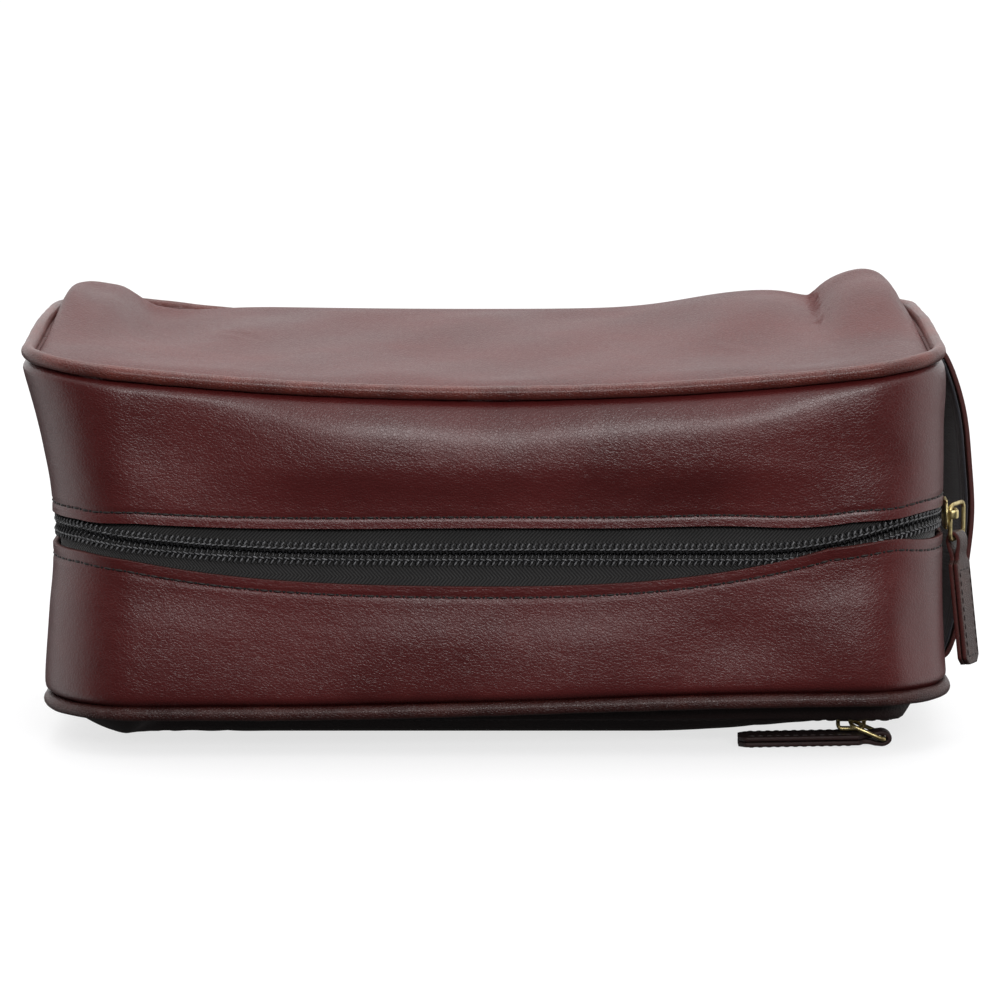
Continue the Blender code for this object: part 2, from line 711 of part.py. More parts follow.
def make_handle():
    """The carrying handle: a leather strap lined with webbing, its two ends in the seams of the right end."""
    count = 15
    low, high = HANDLE_Z

    def rings(inner, outer):
        made = []
        for k in range(count):
            share = k / (count - 1)
            z = low + (high - low) * share
            lift = HANDLE_BOW * math.sin(math.pi * share) ** 0.6 if 0 < share < 1 else 0.0
            root = wall_point((HALF_LENGTH, 0, 1, 0), z, LEATHER / 2 + 0.6)[0]
            near, far = root + lift + inner, root + lift + outer
            made.append([(near, HANDLE_Y[0], z), (near, HANDLE_Y[1], z), (far, HANDLE_Y[1], z), (far, HANDLE_Y[0], z)])
        return made

    sweep("handle_webbing", rings(0.0, 1.0), black_cloth())
    sweep("handle_strap", rings(1.3, 2.9), leather())


def make_lining():
    """The cloth lining, in the same pieces as the leather it lies against."""
    clear = 8.0
    rear = rear_stations(SPLIT_Y + SPLIT_GAP / 2)
    front = front_stations(SPLIT_Y - SPLIT_GAP / 2, SPLIT_Y - SPLIT_GAP / 2, arc_steps=4)
    inner, outer = -LINING_IN - LINING, -LINING_IN

    def above_base(x, y):
        return base_seam(x, y) + clear + 3

    def below_top(x, y):
        return top_seam(x, y) - clear

    band("lining_base_gusset", rear, above_base, below_top, inner, outer, lining_cloth(), rows=5)
    band("lining_lower_band", front, above_base, lambda x, y: lower_edge(x, y) - 2, inner, outer, lining_cloth(), rows=3)
    band("lining_mouth_band", front, lambda x, y: upper_edge(x, y) + 2, below_top, inner, outer, lining_cloth(), rows=4)

    inset = 9.0
    mouth_y = [-y for y in edge_rows(inset, 3)] + [-34, SPLIT_Y - SPLIT_GAP / 2]
    rear_y = [SPLIT_Y + SPLIT_GAP / 2, 0, 20, 36, *reversed(edge_rows(inset, 3))]

    def under_front(x, y):
        return front_height(x, y) - 2.0

    sheet("lining_mouth_panel", under_front, plan_rows(mouth_y, inset, 9, 1), LINING, lining_cloth(), side=-1)
    sheet("lining_front", under_front, plan_rows(rear_y, inset, 11, 1), LINING, lining_cloth(), side=-1)
    back_y = [-y for y in edge_rows(inset, 3)] + [-30, 0, 30, *reversed(edge_rows(inset, 3))]

    def over_back(x, y):
        return 22.6 + 1.5 * ease(-70, 110, x) - 5.0 * arch(x, 112) * arch(y - 8, 50)

    sheet("lining_back", over_back, plan_rows(back_y, inset, 9, 0), LINING, lining_cloth(), side=-1)


def main():
    clear_scene()
    make_panels()
    make_gusset()
    make_piping()
    make_main_zip()
    make_main_pull()
    make_pocket()
    make_pocket_pull()
    make_handle()
    make_lining()


main()
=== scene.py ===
"""Looks of a leather shaving kit bag that lies on its back panel with its zip towards -Y.

Lengths inside the forms and shapes are in millimetres, and become metres when a mesh is made. The strip above the
zip, the front panel and the piping round it are each one piece.
"""

import logging
import math
from dataclasses import dataclass
from enum import Enum
from typing import Callable, Sequence

import bmesh
import bpy
import numpy as np
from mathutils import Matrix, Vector

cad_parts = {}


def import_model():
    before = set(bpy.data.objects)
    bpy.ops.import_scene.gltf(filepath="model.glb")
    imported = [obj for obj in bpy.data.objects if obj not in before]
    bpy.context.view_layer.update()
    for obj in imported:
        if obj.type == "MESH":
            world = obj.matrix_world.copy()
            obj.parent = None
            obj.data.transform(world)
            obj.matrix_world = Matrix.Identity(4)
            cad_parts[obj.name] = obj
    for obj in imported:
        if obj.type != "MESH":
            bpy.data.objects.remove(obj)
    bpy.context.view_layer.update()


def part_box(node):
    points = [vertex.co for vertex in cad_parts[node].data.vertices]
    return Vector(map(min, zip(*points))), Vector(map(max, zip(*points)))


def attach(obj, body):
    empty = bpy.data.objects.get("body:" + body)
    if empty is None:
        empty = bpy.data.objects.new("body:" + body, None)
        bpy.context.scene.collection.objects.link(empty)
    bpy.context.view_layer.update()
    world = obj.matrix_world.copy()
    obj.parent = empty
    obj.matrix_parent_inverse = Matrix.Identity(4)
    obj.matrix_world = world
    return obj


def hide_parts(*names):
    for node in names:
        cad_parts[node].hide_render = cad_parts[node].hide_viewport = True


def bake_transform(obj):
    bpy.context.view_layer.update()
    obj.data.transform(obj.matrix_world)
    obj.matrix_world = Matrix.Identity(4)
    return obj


log = logging.getLogger("shaving_kit_bag")
MM = 0.001
Array = np.ndarray
Colour = tuple[float, float, float, float]


class Part(str, Enum):
    """Bodies of the frame that pieces ride on."""

    BAG = "bag"
    MOUTH = "mouth"
    MAIN_SLIDER = "main_slider"
    MAIN_RING = "main_ring"
    MAIN_PULL = "main_pull"
    POCKET_SLIDER = "pocket_slider"
    POCKET_RING = "pocket_ring"
    POCKET_PULL = "pocket_pull"


# ---------------------------------------------------------------- numbers and vectors


def tone(red: float, green: float, blue: float) -> Colour:
    """A colour as seen, in steps of 0 to 255, as the linear colour a shader takes.

    Args:
        red, green, blue: the three steps.

    Returns:
        Linear red, green, blue and an alpha of 1: ((c / 255 + 0.055) / 1.055) ** 2.4.
    """
    c = np.array((red, green, blue)) / 255
    lin = np.where(c <= 0.04045, c / 12.92, ((c + 0.055) / 1.055) ** 2.4)
    return (float(lin[0]), float(lin[1]), float(lin[2]), 1.0)


def ease(low: float, high: float, value: Array) -> Array:
    """0 before low, 1 after high, and t * t * (3 - 2 t) between them."""
    t = np.clip((np.asarray(value, float) - low) / (high - low), 0, 1)
    return t * t * (3 - 2 * t)


def arch(x: Array, half: float) -> Array:
    """1 - (x / half) ** 2, and 0 outside it."""
    return np.maximum(0, 1 - (np.asarray(x, float) / half) ** 2)


def hill(value: Array, centre: float, width: float) -> Array:
    """exp(-((value - centre) / width) ** 2)."""
    return np.exp(-(((np.asarray(value, float) - centre) / width) ** 2))


def unit(v: Array) -> Array:
    """Vectors along the last axis, each divided by its length."""
    return v / np.maximum(np.linalg.norm(v, axis=-1, keepdims=True), 1e-9)


# ---------------------------------------------------------------- meshes


def grid_faces(rows: int, cols: int, wrap_rows: bool, wrap_cols: bool) -> tuple[Array, Array, Array]:
    """Quads of a grid of points numbered row by row.

    Args:
        rows, cols: size of the grid.
        wrap_rows, wrap_cols: whether the last row or column joins the first.

    Returns:
        Faces (n, 4), and each corner's row and column before wrapping, for its UV.
    """
    i, j = np.meshgrid(
        np.arange(rows if wrap_rows else rows - 1), np.arange(cols if wrap_cols else cols - 1), indexing="ij"
    )
    i, j = i.ravel(), j.ravel()
    r = np.stack((i, i + 1, i + 1, i), axis=1)
    c = np.stack((j, j, j + 1, j + 1), axis=1)
    return (r % rows) * cols + c % cols, r, c


def new_object(name: str, points: Array, faces: list, uv: Array | None, looks: Sequence[bpy.types.Material],
               smooth: bool = True) -> bpy.types.Object:
    """Makes a linked object from points in millimetres.

    Args:
        name: name of the object and its mesh.
        points: (n, 3) in millimetres.
        faces: lists of point numbers.
        uv: one (u, v) per face corner, in metres, or None.
        looks: materials, in slot order.
        smooth: whether its faces are shaded smooth.

    Returns:
        The object.
    """
    mesh = bpy.data.meshes.new(name)
    mesh.from_pydata((np.asarray(points, float).reshape(-1, 3) * MM).tolist(), [], faces)
    if uv is not None:
        mesh.uv_layers.new(name="UVMap").data.foreach_set("uv", np.asarray(uv, float).ravel())
    for look in looks:
        mesh.materials.append(look)
    if smooth:
        mesh.shade_smooth()
    obj = bpy.data.objects.new(name, mesh)
    bpy.context.scene.collection.objects.link(obj)
    return obj


def surface(name: str, points: Array, looks: Sequence[bpy.types.Material], u: Array, v: Array,
            wrap: tuple[bool, bool] = (False, False), caps: bool = False, flip: bool = False) -> bpy.types.Object:
    """A surface over a grid of points.

    Args:
        name: the object's name.
        points: (rows, cols, 3) in millimetres.
        looks: its materials.
        u, v: UV of each row and each column in millimetres, with one more where that way wraps.
        wrap: whether rows and columns join up.
        caps: whether the first and last row are filled, on a tube.
        flip: whether its faces are turned over.

    Returns:
        The object.
    """
    rows, cols = points.shape[:2]
    faces, r, c = grid_faces(rows, cols, *wrap)
    uv = np.stack((np.asarray(u)[r], np.asarray(v)[c]), axis=-1) * MM
    if flip:
        faces, uv = faces[:, ::-1], uv[:, ::-1]
    made, corners = faces.tolist(), [uv.reshape(-1, 2)]
    if caps:
        for row, order in ((0, range(cols)), (rows - 1, range(cols - 1, -1, -1))):
            made.append([row * cols + k for k in order])
            corners.append(np.tile((np.asarray(u)[row] * MM, 0.0), (cols, 1)))
    return new_object(name, points, made, np.concatenate(corners), looks)


def face_out(obj: bpy.types.Object, merge: float = 0.00001) -> bpy.types.Object:
    """Merges a closed mesh's doubles and points its faces outwards."""
    bm = bmesh.new()
    bm.from_mesh(obj.data)
    bmesh.ops.remove_doubles(bm, verts=bm.verts[:], dist=merge)
    bmesh.ops.recalc_face_normals(bm, faces=bm.faces[:])
    bm.to_mesh(obj.data)
    bm.free()
    return obj


def thicken(obj: bpy.types.Object, thickness: float, rim: int = 0, inwards: bool = True) -> None:
    """Gives a sheet its wall with a Solidify, on the side away from its faces, and a material for its cut edge."""
    wall = obj.modifiers.new("wall", "SOLIDIFY")
    wall.thickness = thickness * MM
    wall.offset = -1 if inwards else 1
    wall.material_offset_rim = rim
    wall.use_even_offset = False


def tube_points(path: Array, radius: Array | float, sides: int, closed: bool, flat: float = 1.0,
                up: tuple[float, float, float] = (0.03, 0.05, 1.0)) -> Array:
    """Points round a path: p + r (n cos a + b sin a), with n and b square to its tangent.

    Args:
        path: (rows, 3) in millimetres.
        radius: one radius, or one per row.
        sides: points round the tube.
        closed: whether the path joins up.
        flat: factor on the second axis, for an oval.
        up: direction that n leans towards.

    Returns:
        (rows, sides, 3).
    """
    if closed:
        tangent = np.roll(path, -1, axis=0) - np.roll(path, 1, axis=0)
    else:
        tangent = np.gradient(path, axis=0)
    tangent = unit(tangent)
    b = unit(np.cross(tangent, np.array(up)))
    n = np.cross(b, tangent)
    a = np.linspace(0, 2 * math.pi, sides, endpoint=False)
    r = np.broadcast_to(np.asarray(radius, float), (len(path),))[:, None, None]
    round_it = n[:, None] * np.cos(a)[None, :, None] + b[:, None] * (flat * np.sin(a))[None, :, None]
    return path[:, None] + r * round_it


def tube(name: str, path: Array, radius: Array | float, looks: Sequence[bpy.types.Material], sides: int = 10,
         closed: bool = False, flat: float = 1.0,
         up: tuple[float, float, float] = (0.03, 0.05, 1.0)) -> bpy.types.Object:
    """A tube round a path, capped where it is open, with UV along it and round it."""
    points = tube_points(path, radius, sides, closed, flat, up)
    steps = np.linalg.norm(np.diff(path, axis=0, append=path[:1]), axis=1)
    along = np.concatenate(([0.0], np.cumsum(steps)))
    rim = float(np.mean(radius)) * 2 * math.pi
    return face_out(surface(
        name, points, looks, along[: len(path) + closed], np.linspace(0, rim, sides + 1), (closed, True), not closed
    ))


def scatter(name: str, shape: tuple[Array, list], centres: Array, axes: tuple[Array, Array, Array],
            looks: Sequence[bpy.types.Material]) -> bpy.types.Object:
    """Copies of a small closed shape, each at centre + a U + b V + c W for its point (a, b, c).

    Args:
        name: the object's name.
        shape: the small shape's points (n, 3) and faces.
        centres: (k, 3) in millimetres.
        axes: U, V and W, each (k, 3).
        looks: its materials.

    Returns:
        One object that holds every copy.
    """
    local, faces = shape
    u, v, w = axes
    points = (centres[:, None] + local[None, :, 0:1] * u[:, None] + local[None, :, 1:2] * v[:, None]
              + local[None, :, 2:3] * w[:, None])
    count = len(local)
    made = [[f + k * count for f in face] for k in range(len(centres)) for face in faces]
    return face_out(new_object(name, points, made, None, looks), 1e-7)


def ring_shape(path: Array, radius: float, sides: int) -> tuple[Array, list]:
    """Points and faces of a small closed tube round a closed path."""
    points = tube_points(path, radius, sides, True)
    faces, _, _ = grid_faces(len(path), sides, True, True)
    return points.reshape(-1, 3), faces.tolist()


def stitch_shape(length: float, radius: float) -> tuple[Array, list]:
    """One stitch of thread along u: a capsule that sinks at both ends."""
    t = np.array((-1.0, -0.8, -0.3, 0.3, 0.8, 1.0))
    path = np.stack((t * length / 2, 0 * t, -0.9 * radius * t**4), axis=1)
    points = tube_points(path, radius * np.array((0.35, 0.8, 1, 1, 0.8, 0.35)), 6, False, up=(0, 0.01, 1))
    faces, _, _ = grid_faces(6, 6, False, True)
    made = faces.tolist() + [list(range(6)), [30 + k for k in range(5, -1, -1)]]
    return points.reshape(-1, 3), made


# ---------------------------------------------------------------- the shell's form


@dataclass(frozen=True)
class ShellForm:
    """The bag's shell in millimetres: its plan, its two seams and its zip line, as the frame has them."""

    half_length: float = 127.9
    half_depth: float = 67.9
    corner: float = 26.9
    top: float = 111.0
    base: float = 12.0
    chain: float = 64.6
    dip: float = 7.8
    zip_y: float = -19.0

    @property
    def cx(self) -> float:
        """X of the corners' centres."""
        return self.half_length - self.corner

    @property
    def cy(self) -> float:
        """Y of the rear corners' centres."""
        return self.half_depth - self.corner

    @property
    def quarter(self) -> float:
        """Length of one corner's arc."""
        return self.corner * math.pi / 2

    @property
    def half_loop(self) -> float:
        """Length from the middle of the front round one end to the middle of the rear."""
        return 2 * self.cx + 2 * self.cy + 2 * self.quarter

    def station(self, s: Array) -> tuple[Array, Array, Array, Array]:
        """The plan at a distance s from the middle of the front, positive towards +X.

        Along |s| come a straight front, an arc, a straight end, an arc and a straight rear.

        Args:
            s: distances along the plan.

        Returns:
            x, y and the outward normal's x and y.
        """
        s = np.asarray(s, float)
        way, side = np.abs(s), np.where(s < 0, -1.0, 1.0)
        q, r = self.quarter, self.corner
        marks = np.cumsum((self.cx, q, 2 * self.cy, q))
        first = np.clip((way - marks[0]) / r, 0, math.pi / 2)
        second = np.clip((way - marks[2]) / r, 0, math.pi / 2)
        angle = first + second - math.pi / 2
        nx, ny = np.cos(angle), np.sin(angle)
        front = np.minimum(way, marks[0])
        end = np.clip(way - marks[1], 0, 2 * self.cy)
        rear = np.maximum(way - marks[3], 0)
        x = front - rear + r * nx
        y = -self.cy + end + r * ny
        return side * x, y, side * nx, ny

    def at_end(self, y: float) -> float:
        """Distance along the plan to the point of an end at this depth y."""
        return self.cx + self.quarter + (y + self.cy)

    def sag(self, x: Array, y: Array) -> Array:
        """Height of the front panel's seam without its rise: top - arch(x) * (2 + 7.5 * share towards the front)."""
        front = (self.half_depth - y) / (2 * self.half_depth)
        return self.top - arch(x, 130) * (2.0 + 7.5 * front)

    def rise(self, x: Array, y: Array) -> Array:
        """How far both ends' seams climb from the zip side to the rear: 3.4 ease(y) ease(|x|)."""
        return 3.4 * ease(-52, 8, y) * ease(70, 120, np.abs(x))

    def top_seam(self, x: Array, y: Array) -> Array:
        """Height of the front panel's seam."""
        return self.sag(x, y) + self.rise(x, y)

    def base_seam(self, x: Array, y: Array) -> Array:
        """Back panel's seam, which lifts by up to 4 towards the right end."""
        front = (self.half_depth - y) / (2 * self.half_depth)
        return self.base + 4.0 * ease(-70, 110, x) * (0.4 + 0.6 * front)

    def chain_height(self, x: Array) -> Array:
        """Height of the zip's chain: `dip` below its right end along the front, and up to both ends.

        Right of 70 it climbs by dip t^3 (4 - 3 t), and left of -24 by 5.4 t^2.3.
        """
        x = np.asarray(x, float)
        t = np.clip((x - 70) / 54, 0, 1)
        left = 5.4 * np.clip(-(x + 24) / 95, 0, 1) ** 2.3
        return self.chain - self.dip + np.where(x > 0, self.dip * t**3 * (4 - 3 * t), left)

    def lower_edge(self, x: Array) -> Array:
        """Height of the leather's edge below the chain, which it starts to cover at the right."""
        x = np.asarray(x, float)
        right = 7.0 * np.clip(x / 95, 0, 1) ** 3 + 1.5 * hill(x, 113, 8)
        left = 4.6 * np.clip(-(x + 24) / 95, 0, 1) ** 2.5
        return self.chain - 12.4 - 4.4 * arch(x, 104) + np.where(x > 0, right, left)

    def upper_edge(self, x: Array) -> Array:
        """Height of the leather's edge above the chain, which comes closest to it at both ends."""
        x = np.asarray(x, float)
        wider = 2.2 * arch(x, 104) + 1.5 * hill(x, 70, 25)
        closer = 2.3 * ease(100, 116, x) + 1.7 * ease(100, 118, -x)
        return self.chain_height(x) + 5.4 + wider - closer

    def draw(self, x: Array, ny: Array, share: Array) -> Array:
        """How far the front's top is drawn in where its seam sags: 3 arch(x) ((share - 0.6) / 0.4) ** 2."""
        return 3.0 * arch(x, 118) * np.clip(-ny, 0, 1) ** 2 * np.clip((share - 0.6) / 0.4, 0, 1) ** 2

    def end_bulge(self, x: Array, share: Array) -> Array:
        """How far the ends stand off the plan at this share of the wall's height."""
        above, below = np.maximum(0, 2 * share - 1), np.maximum(0, 1 - 2 * share)
        right = ease(60, self.half_length, x) * (1.4 * below**3 - 1.2 * above**3)
        left = -ease(60, self.half_length, -x) * (-5.6 + 1.8 * below**2 + 6.8 * above**2)
        return np.where(x > 0, right, left)

    def wall(self, s: Array, z: Array, out: Array | float) -> Array:
        """Points of the wall at a distance along the plan, a height, and a distance out from the leather's middle."""
        x, y, nx, ny = self.station(s)
        low, high = self.base_seam(x, y), self.top_seam(x, y)
        share = np.clip((z - low - 4) / (high - low - 8), 0, 1)
        off = out - self.draw(x, ny, share)
        return np.stack((x + nx * off + self.end_bulge(x, share), y + ny * off, z + 0 * x), axis=-1)

    def swell(self, s: Array, z: Array) -> Array:
        """How far soft leather stands off the wall.

        It has a crease by each seam, a round shoulder and foot, and slack waves between them.
        It dies out towards the zip's edges, and behind the main pull, where it is calm.
        shoulder = 5 w (1 - e^(-(d - 1.7) / 8 w)) e^(-(d / 36)^2), with d the distance below the seam and
        w = 0.22 + 0.78 e^(-((x - 8) / 75)^4), which is fullest along the middle of the front.
        """
        x, y, _, _ = self.station(s)
        low, high = self.base_seam(x, y), self.top_seam(x, y)
        down, up = np.maximum(0, high - z), np.maximum(0, z - low)
        tuck = -2.1 * (np.exp(-((down / 2.9) ** 4)) + np.exp(-((up / 2.6) ** 4)))
        front = ease(-20, -55, y)
        full = 0.22 + 0.78 * np.exp(-(((x - 8) / 75) ** 4)) * front
        shoulder = 5.0 * full * (1 - np.exp(-np.maximum(0, down - 1.7) / (8 * full))) * np.exp(-((down / 36) ** 2))
        foot = 1.5 * (1 - np.exp(-np.maximum(0, up - 1.6) / 1.4)) * np.exp(-((up / 18) ** 2))
        gap = np.minimum(np.abs(z - self.upper_edge(x)), np.abs(z - self.lower_edge(x)))
        by_zip = y < self.zip_y
        open_wall = (z > self.lower_edge(x)) & (z < self.upper_edge(x)) & by_zip
        near = np.where(open_wall, 0.0, np.where(by_zip, ease(2.0, 18.0, gap), 1.0))
        belly = 0.9 * np.sin(math.pi * np.clip(up / 38, 0, 1))
        waves = 0.35 * np.sin(s / 17 + z / 23) + 0.25 * np.sin(s / 9.5 - z / 11 + 1.3)
        dent = -1.1 * hill(s, -92, 22) * hill(z, 88, 12) - 0.8 * hill(s, 112, 16) * hill(z, 82, 10)
        ridge = 0.5 * hill(s, 84, 34) * hill(down, 11, 7)
        low_fold = -1.0 * hill(s, 72, 15) * hill(z, 33, 11) + 0.7 * hill(s, 100, 13) * hill(z, 30, 12)
        soft = waves * (0.5 + 0.5 * front) + front * belly + dent + ridge + low_fold
        calm = 1 - 0.92 * ease(110, 122, x) * (1 - ease(-26, -14, y)) * ease(6, 24, down)
        return tuck + calm * (foot + near * (shoulder + soft))


FORM = ShellForm()


def bends(obj: bpy.types.Object, slot: str, *nodes: str) -> None:
    """Bakes a piece of the mouth into its place, and hides these nodes of the frame."""
    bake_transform(obj)
    if nodes:
        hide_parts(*nodes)


def rides(obj: bpy.types.Object, part: Part, slot: str, *nodes: str) -> None:
    """Lets a piece ride on a body, in place of these nodes."""
    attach(obj, part.value)
    if nodes:
        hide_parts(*nodes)


# ---------------------------------------------------------------- finishes

Socket = bpy.types.NodeSocket


class Tree:
    """A node tree, with short ways to add the nodes that a finish or the surroundings need."""

    def __init__(self, tree: bpy.types.NodeTree) -> None:
        """Keeps the tree."""
        self.tree = tree

    def node(self, kind: str, **settings: object) -> bpy.types.Node:
        """Adds a node of this kind with these settings."""
        made = self.tree.nodes.new(kind)
        for key, value in settings.items():
            setattr(made, key, value)
        return made

    def feed(self, target: Socket, source: Socket | float | Sequence[float]) -> None:
        """Links a socket, or sets its value."""
        if isinstance(source, bpy.types.NodeSocket):
            self.tree.links.new(source, target)
        else:
            target.default_value = source

    def coords(self, kind: str = "Object") -> Socket:
        """Object or UV coordinates."""
        return self.node("ShaderNodeTexCoord").outputs[kind]

    def stretch(self, vector: Socket, scale: tuple[float, float, float],
                turn: tuple[float, float, float] = (0, 0, 0)) -> Socket:
        """A vector scaled and turned by a Mapping node."""
        made = self.node("ShaderNodeMapping")
        made.inputs["Scale"].default_value = scale
        made.inputs["Rotation"].default_value = turn
        self.feed(made.inputs["Vector"], vector)
        return made.outputs["Vector"]

    def math(self, operation: str, *values: Socket | float) -> Socket:
        """The result of a Math node."""
        made = self.node("ShaderNodeMath", operation=operation)
        for k, value in enumerate(values):
            self.feed(made.inputs[k], value)
        return made.outputs[0]

    def noise(self, vector: Socket, scale: float, detail: float = 3.0, rough: float = 0.5) -> Socket:
        """The value of a Noise texture."""
        made = self.node("ShaderNodeTexNoise")
        self.feed(made.inputs["Vector"], vector)
        made.inputs["Scale"].default_value = scale
        made.inputs["Detail"].default_value = detail
        made.inputs["Roughness"].default_value = rough
        return made.outputs["Fac"]

    def cells(self, vector: Socket, scale: float, feature: str) -> Socket:
        """The distance of a Voronoi texture."""
        made = self.node("ShaderNodeTexVoronoi", feature=feature)
        self.feed(made.inputs["Vector"], vector)
        made.inputs["Scale"].default_value = scale
        return made.outputs["Distance"]

    def span(self, value: Socket, low: float, high: float, to_low: float = 0.0, to_high: float = 1.0,
             kind: str = "LINEAR") -> Socket:
        """A value carried from one range to another, and held at its ends."""
        made = self.node("ShaderNodeMapRange", clamp=True, interpolation_type=kind)
        self.feed(made.inputs["Value"], value)
        for key, number in (("From Min", low), ("From Max", high), ("To Min", to_low), ("To Max", to_high)):
            made.inputs[key].default_value = number
        return made.outputs["Result"]

    def blend(self, share: Socket | float, first: Socket | Colour, second: Socket | Colour) -> Socket:
        """A mix of two colours."""
        made = self.node("ShaderNodeMix", data_type="RGBA")
        self.feed(made.inputs["Factor"], share)
        self.feed(made.inputs[6], first)
        self.feed(made.inputs[7], second)
        return made.outputs[2]

    def bump(self, height: Socket, depth: float, strength: float = 1.0, below: Socket | None = None) -> Socket:
        """A Bump node's normal, for a height of this depth in millimetres."""
        made = self.node("ShaderNodeBump")
        made.inputs["Strength"].default_value = strength
        made.inputs["Distance"].default_value = depth * MM
        self.feed(made.inputs["Height"], height)
        if below is not None:
            self.feed(made.inputs["Normal"], below)
        return made.outputs["Normal"]


class Nodes(Tree):
    """A material's node tree round one Principled BSDF."""

    def __init__(self, name: str) -> None:
        """Starts the material."""
        self.material = bpy.data.materials.new(name)
        self.material.use_nodes = True
        super().__init__(self.material.node_tree)
        self.shader = self.tree.nodes["Principled BSDF"]

    def dress(self, colour: Socket | Colour, roughness: Socket | float, normal: Socket | None = None,
              **plain: float) -> bpy.types.Material:
        """Feeds the shader, sets its plain sockets, and returns the material."""
        self.feed(self.shader.inputs["Base Color"], colour)
        self.feed(self.shader.inputs["Roughness"], roughness)
        if normal is not None:
            self.feed(self.shader.inputs["Normal"], normal)
        for key, value in plain.items():
            self.shader.inputs[key.replace("_", " ")].default_value = value
        return self.material


@dataclass(frozen=True)
class Hide:
    """Pebbled leather: grain cells with fine creases between them, slow mottling and a waxed sheen."""

    name: str
    deep: Colour
    light: Colour
    worn: Colour
    cell: float = 1.1
    grain: float = 0.05
    roughness: float = 0.37
    coat: float = 0.25
    mottle: float = 22.0

    def build(self) -> bpy.types.Material:
        """The material: cells of about `cell` mm, bent by noise, lie over wrinkles and a fine tooth."""
        n = Nodes(self.name)
        place = n.coords()
        bend = n.node("ShaderNodeTexNoise")
        bend.inputs["Scale"].default_value = 420
        bend.inputs["Detail"].default_value = 2
        n.feed(bend.inputs["Vector"], place)
        push = n.node("ShaderNodeVectorMath", operation="MULTIPLY_ADD")
        n.feed(push.inputs[0], bend.outputs["Color"])
        push.inputs[1].default_value = (0.0011, 0.0011, 0.0011)
        n.feed(push.inputs[2], place)
        lean = n.stretch(push.outputs[0], (1.0, 1.0, 1.35), (0.0, 0.35, 0.0))
        cells = n.cells(lean, 1000 / self.cell, "DISTANCE_TO_EDGE")
        pebble = n.span(cells, 0.0, 0.22)
        fine = n.noise(place, 3600, 2.0, 0.6)
        wrinkle = n.noise(n.stretch(place, (1.0, 1.0, 1.6)), 130, 4.0, 0.62)
        slow = n.noise(place, self.mottle, 3.0, 0.55)
        patch = n.noise(place, 95, 3.0, 0.6)
        normal = n.bump(wrinkle, 0.5, 0.6)
        normal = n.bump(pebble, self.grain, 0.9, normal)
        normal = n.bump(fine, 0.035, 0.8, normal)
        colour = n.blend(n.span(slow, 0.34, 0.68), self.deep, self.light)
        colour = n.blend(n.span(patch, 0.56, 0.78, 0.0, 0.15), colour, self.worn)
        # The creases between the grain cells are darkened towards 0.45 of the deep tone: painted shade in the
        # creases.
        crease = n.math("MULTIPLY", n.math("SUBTRACT", 1.0, n.span(cells, 0.0, 0.10)), 0.12)
        dark = (self.deep[0] * 0.45, self.deep[1] * 0.45, self.deep[2] * 0.45, 1.0)
        colour = n.blend(crease, colour, dark)
        rough = n.math("ADD", n.span(slow, 0.3, 0.7, -0.04, 0.04), n.span(pebble, 0, 1, 0.05, 0.0))
        rough = n.math("ADD", rough, self.roughness)
        return n.dress(colour, rough, normal, Specular_IOR_Level=0.4, Coat_Weight=self.coat, Coat_Roughness=0.26)


@dataclass(frozen=True)
class CutEdge:
    """The raw, burnished cut edge of leather, redder than its face, with a fibrous grain."""

    name: str = "leather_cut_edge"
    base: Colour = tone(84, 34, 30)
    dark: Colour = tone(56, 23, 21)

    def build(self) -> bpy.types.Material:
        """The material: fibres from stretched noise."""
        n = Nodes(self.name)
        fibre = n.noise(n.stretch(n.coords(), (1.0, 1.0, 2.5)), 1400, 3.0, 0.65)
        colour = n.blend(n.span(fibre, 0.35, 0.7), self.dark, self.base)
        return n.dress(colour, 0.62, n.bump(fibre, 0.12, 0.7), Specular_IOR_Level=0.35)


class Weave(Enum):
    """How a cloth's threads cross."""

    HERRINGBONE = "herringbone"
    RIBBED = "ribbed"
    PLAIN = "plain"


